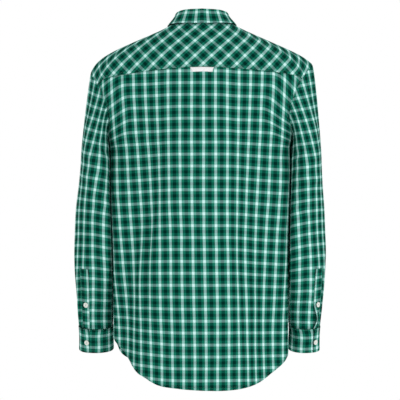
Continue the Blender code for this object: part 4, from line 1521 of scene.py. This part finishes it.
def button_mesh():
    curve = bpy.data.curves.new("button_disc", "CURVE")
    curve.dimensions, curve.fill_mode = "2D", "BOTH"
    curve.extrude, curve.bevel_depth, curve.bevel_resolution = .0005, .0002, 1
    curve.resolution_u = 4
    for (x, y), r, count in [((0, 0), BUTTON_R - .0011, RIM_STEPS)] \
            + [(hole, HOLE_R, 10) for hole in HOLES]:
        line = curve.splines.new("POLY")
        line.points.add(count - 1)
        for point, (cx, cy) in zip(line.points, circle(r, count)):
            point.co = (x + cx, y + cy, 0, 1)
        line.use_cyclic_u = True
    maker = add("button_disc", curve)
    disc = bpy.data.meshes.new_from_object(
        maker.evaluated_get(bpy.context.evaluated_depsgraph_get()))
    bpy.data.objects.remove(maker, do_unlink=True)
    bm = bmesh.new()
    bm.from_mesh(disc)
    for vert in bm.verts:
        vert.co.z -= .0001
    rings = [[bm.verts.new((x * (BUTTON_R - inner), y * (BUTTON_R - inner), z))
              for inner, z in RIM] for x, y in circle(1, RIM_STEPS)]
    for here, there in zip(rings, rings[1:] + rings[:1]):
        for p in range(len(RIM)):
            w = (p + 1) % len(RIM)
            bm.faces.new((here[p], there[p], there[w], here[w]))
    mesh = bpy.data.meshes.new("shirt_button")
    bm.to_mesh(mesh)
    bm.free()
    mesh.shade_smooth()
    mesh.set_sharp_from_angle(angle=math.radians(40))
    return mesh


BUTTON_MESH = button_mesh()
BUTTON_MESH.materials.append(mottled(
    "pearly button", ((.3, (.50, .53, .49)), (.75, (.86, .86, .80))),
    dict(Scale=260, Detail=3, Distortion=1.5),
    {"Roughness": .28, "Coat Weight": .35, "Coat Roughness": .15}))
print("button:", len(BUTTON_MESH.polygons), "faces")

# %% Place the buttons
CROSS_SHAPE = ((0, 1, -.9), (.2, 1, .5), (.5, 1, .9), (.8, 1, .5), (1, 1, -.9))
CROSSES = [], []
SINK = {"front": .0009, "stand": .0004, "sleeve": .0002, "cuff": .0002}
HOLE_TOP, CROSS_THICK = .00055, .00022
button_nodes = sorted(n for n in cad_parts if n.startswith("button_"))
for name in button_nodes:
    spots = np.array([v.co[:] for v in bpy.data.objects[name].data.vertices])
    centre = spots.mean(0)
    up = np.linalg.svd(spots - centre)[2][2]        # the solid is thinnest this way
    kind, side = name.split("_")[1], "left" if centre[0] > 0 else "right"
    outward = np.array([0, -1.0, 0]) if kind in ("front", "stand") else \
        centre - sleeve_middle(side, centre[2])
    up = up * np.sign(up @ outward)
    turn = Vector(up).to_track_quat("Z", "Y").to_matrix()
    centre = centre - up * SINK[kind]
    thing = add(name + "_turned", BUTTON_MESH)
    thing.matrix_world = Matrix.Translation(Vector(centre)) @ turn.to_4x4()
    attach(thing, "root")
    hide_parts(name)
    holes = centre + np.array([(x, y, HOLE_TOP) for x, y in HOLES]) @ np.array(turn).T
    rods(CROSSES, holes[[0, 1]], holes[[3, 2]], up, CROSS_THICK, CROSS_SHAPE, 6, 0)
thread_mesh("button_thread", CROSSES, "button thread", (.10, .30, .22))
print("buttons:", len(button_nodes))

# %% [markdown]
# ## State the cloth
# Each panel's cut is printed: its flat size and its flat area.

# %% Sheets
SHEETS = [("back_cloth", "hung", "yoke_cloth"), ("yoke_cloth", "hung", "collar_stand_cloth")]
for side, _ in SIDES:
    SHEETS += [(f"front_{side}_cloth", "hung", "yoke_cloth"),
               (f"sleeve_{side}_cloth", "hung", "yoke_cloth"),
               (f"cuff_{side}_cloth", "folded", f"sleeve_{side}_cloth"),
               (f"sleeve_placket_{side}_cloth", "folded", f"sleeve_{side}_cloth")]
SHEETS += [("front_placket_cloth", "hung", "front_left_cloth"),
           ("collar_stand_cloth", "folded", "yoke_cloth"),
           ("collar_cloth", "folded", "collar_stand_cloth"),
           ("hanger_loop_tape", "hung", "back_cloth")]
for name, held, on in SHEETS:
    declare(bpy.data.objects[name])

# %% [markdown]
# ## Studio
# A pale floor well below the hem, an even white surround and three soft round lights.
# A key and a weak fill stand on the back's side, a little below the shirt's middle so
# that the long folds show, and the third lights the front.

# %% Floor
FLOOR_WHITE = .975
bpy.ops.mesh.primitive_plane_add(size=5.5, location=(0, 0, -1.45))
floor = bpy.context.object
floor.name = "studio_floor"
floor.data.materials.append(mottled(
    "pale floor", ((0, [FLOOR_WHITE * .99] * 3), (1, [FLOOR_WHITE] * 3)), dict(Scale=3),
    {"Roughness": .9}, place="Generated"))
floor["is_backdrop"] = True
world = bpy.data.worlds.new("white studio")
bpy.context.scene.world = world
world.use_nodes = True
feed(world.node_tree, world.node_tree.nodes["Background"], {0: (1, 1, 1, 1), 1: 1.0})
print("floor at", floor.location.z)

# %% Lights
for name, place, aim, size, power in (("key", (-2.1, 2.2, -.6), (0, 0, -.42), 1.4, 20),
                                      ("fill", (1.9, 2.4, -.6), (0, 0, -.45), 1.6, 3),
                                      ("front", (.8, -2.6, -.1), (0, 0, -.40), 1.8, 8)):
    data = bpy.data.lights.new(name, "AREA")
    data.shape, data.size, data.energy = "DISK", size, power
    lamp = add(name, data)
    lamp.location = place
    way = Vector(aim) - Vector(place)
    lamp.rotation_euler = way.to_track_quat("-Z", "Y").to_euler()
bpy.context.scene.view_settings.view_transform = "Standard"

# %% Camera
lens = bpy.data.cameras.new("camera")
lens.lens, lens.sensor_width = 129.0, 36.0
camera = add("camera", lens)
camera.location = (.0042, 3.115, -.380)
camera.rotation_euler = (math.radians(90), 0, math.radians(180))
bpy.context.scene.camera = camera
print("camera at", tuple(camera.location))

# %% Sizes and finish
low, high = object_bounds()
print("visual box", tuple(round(c, 4) for c in low), tuple(round(c, 4) for c in high))
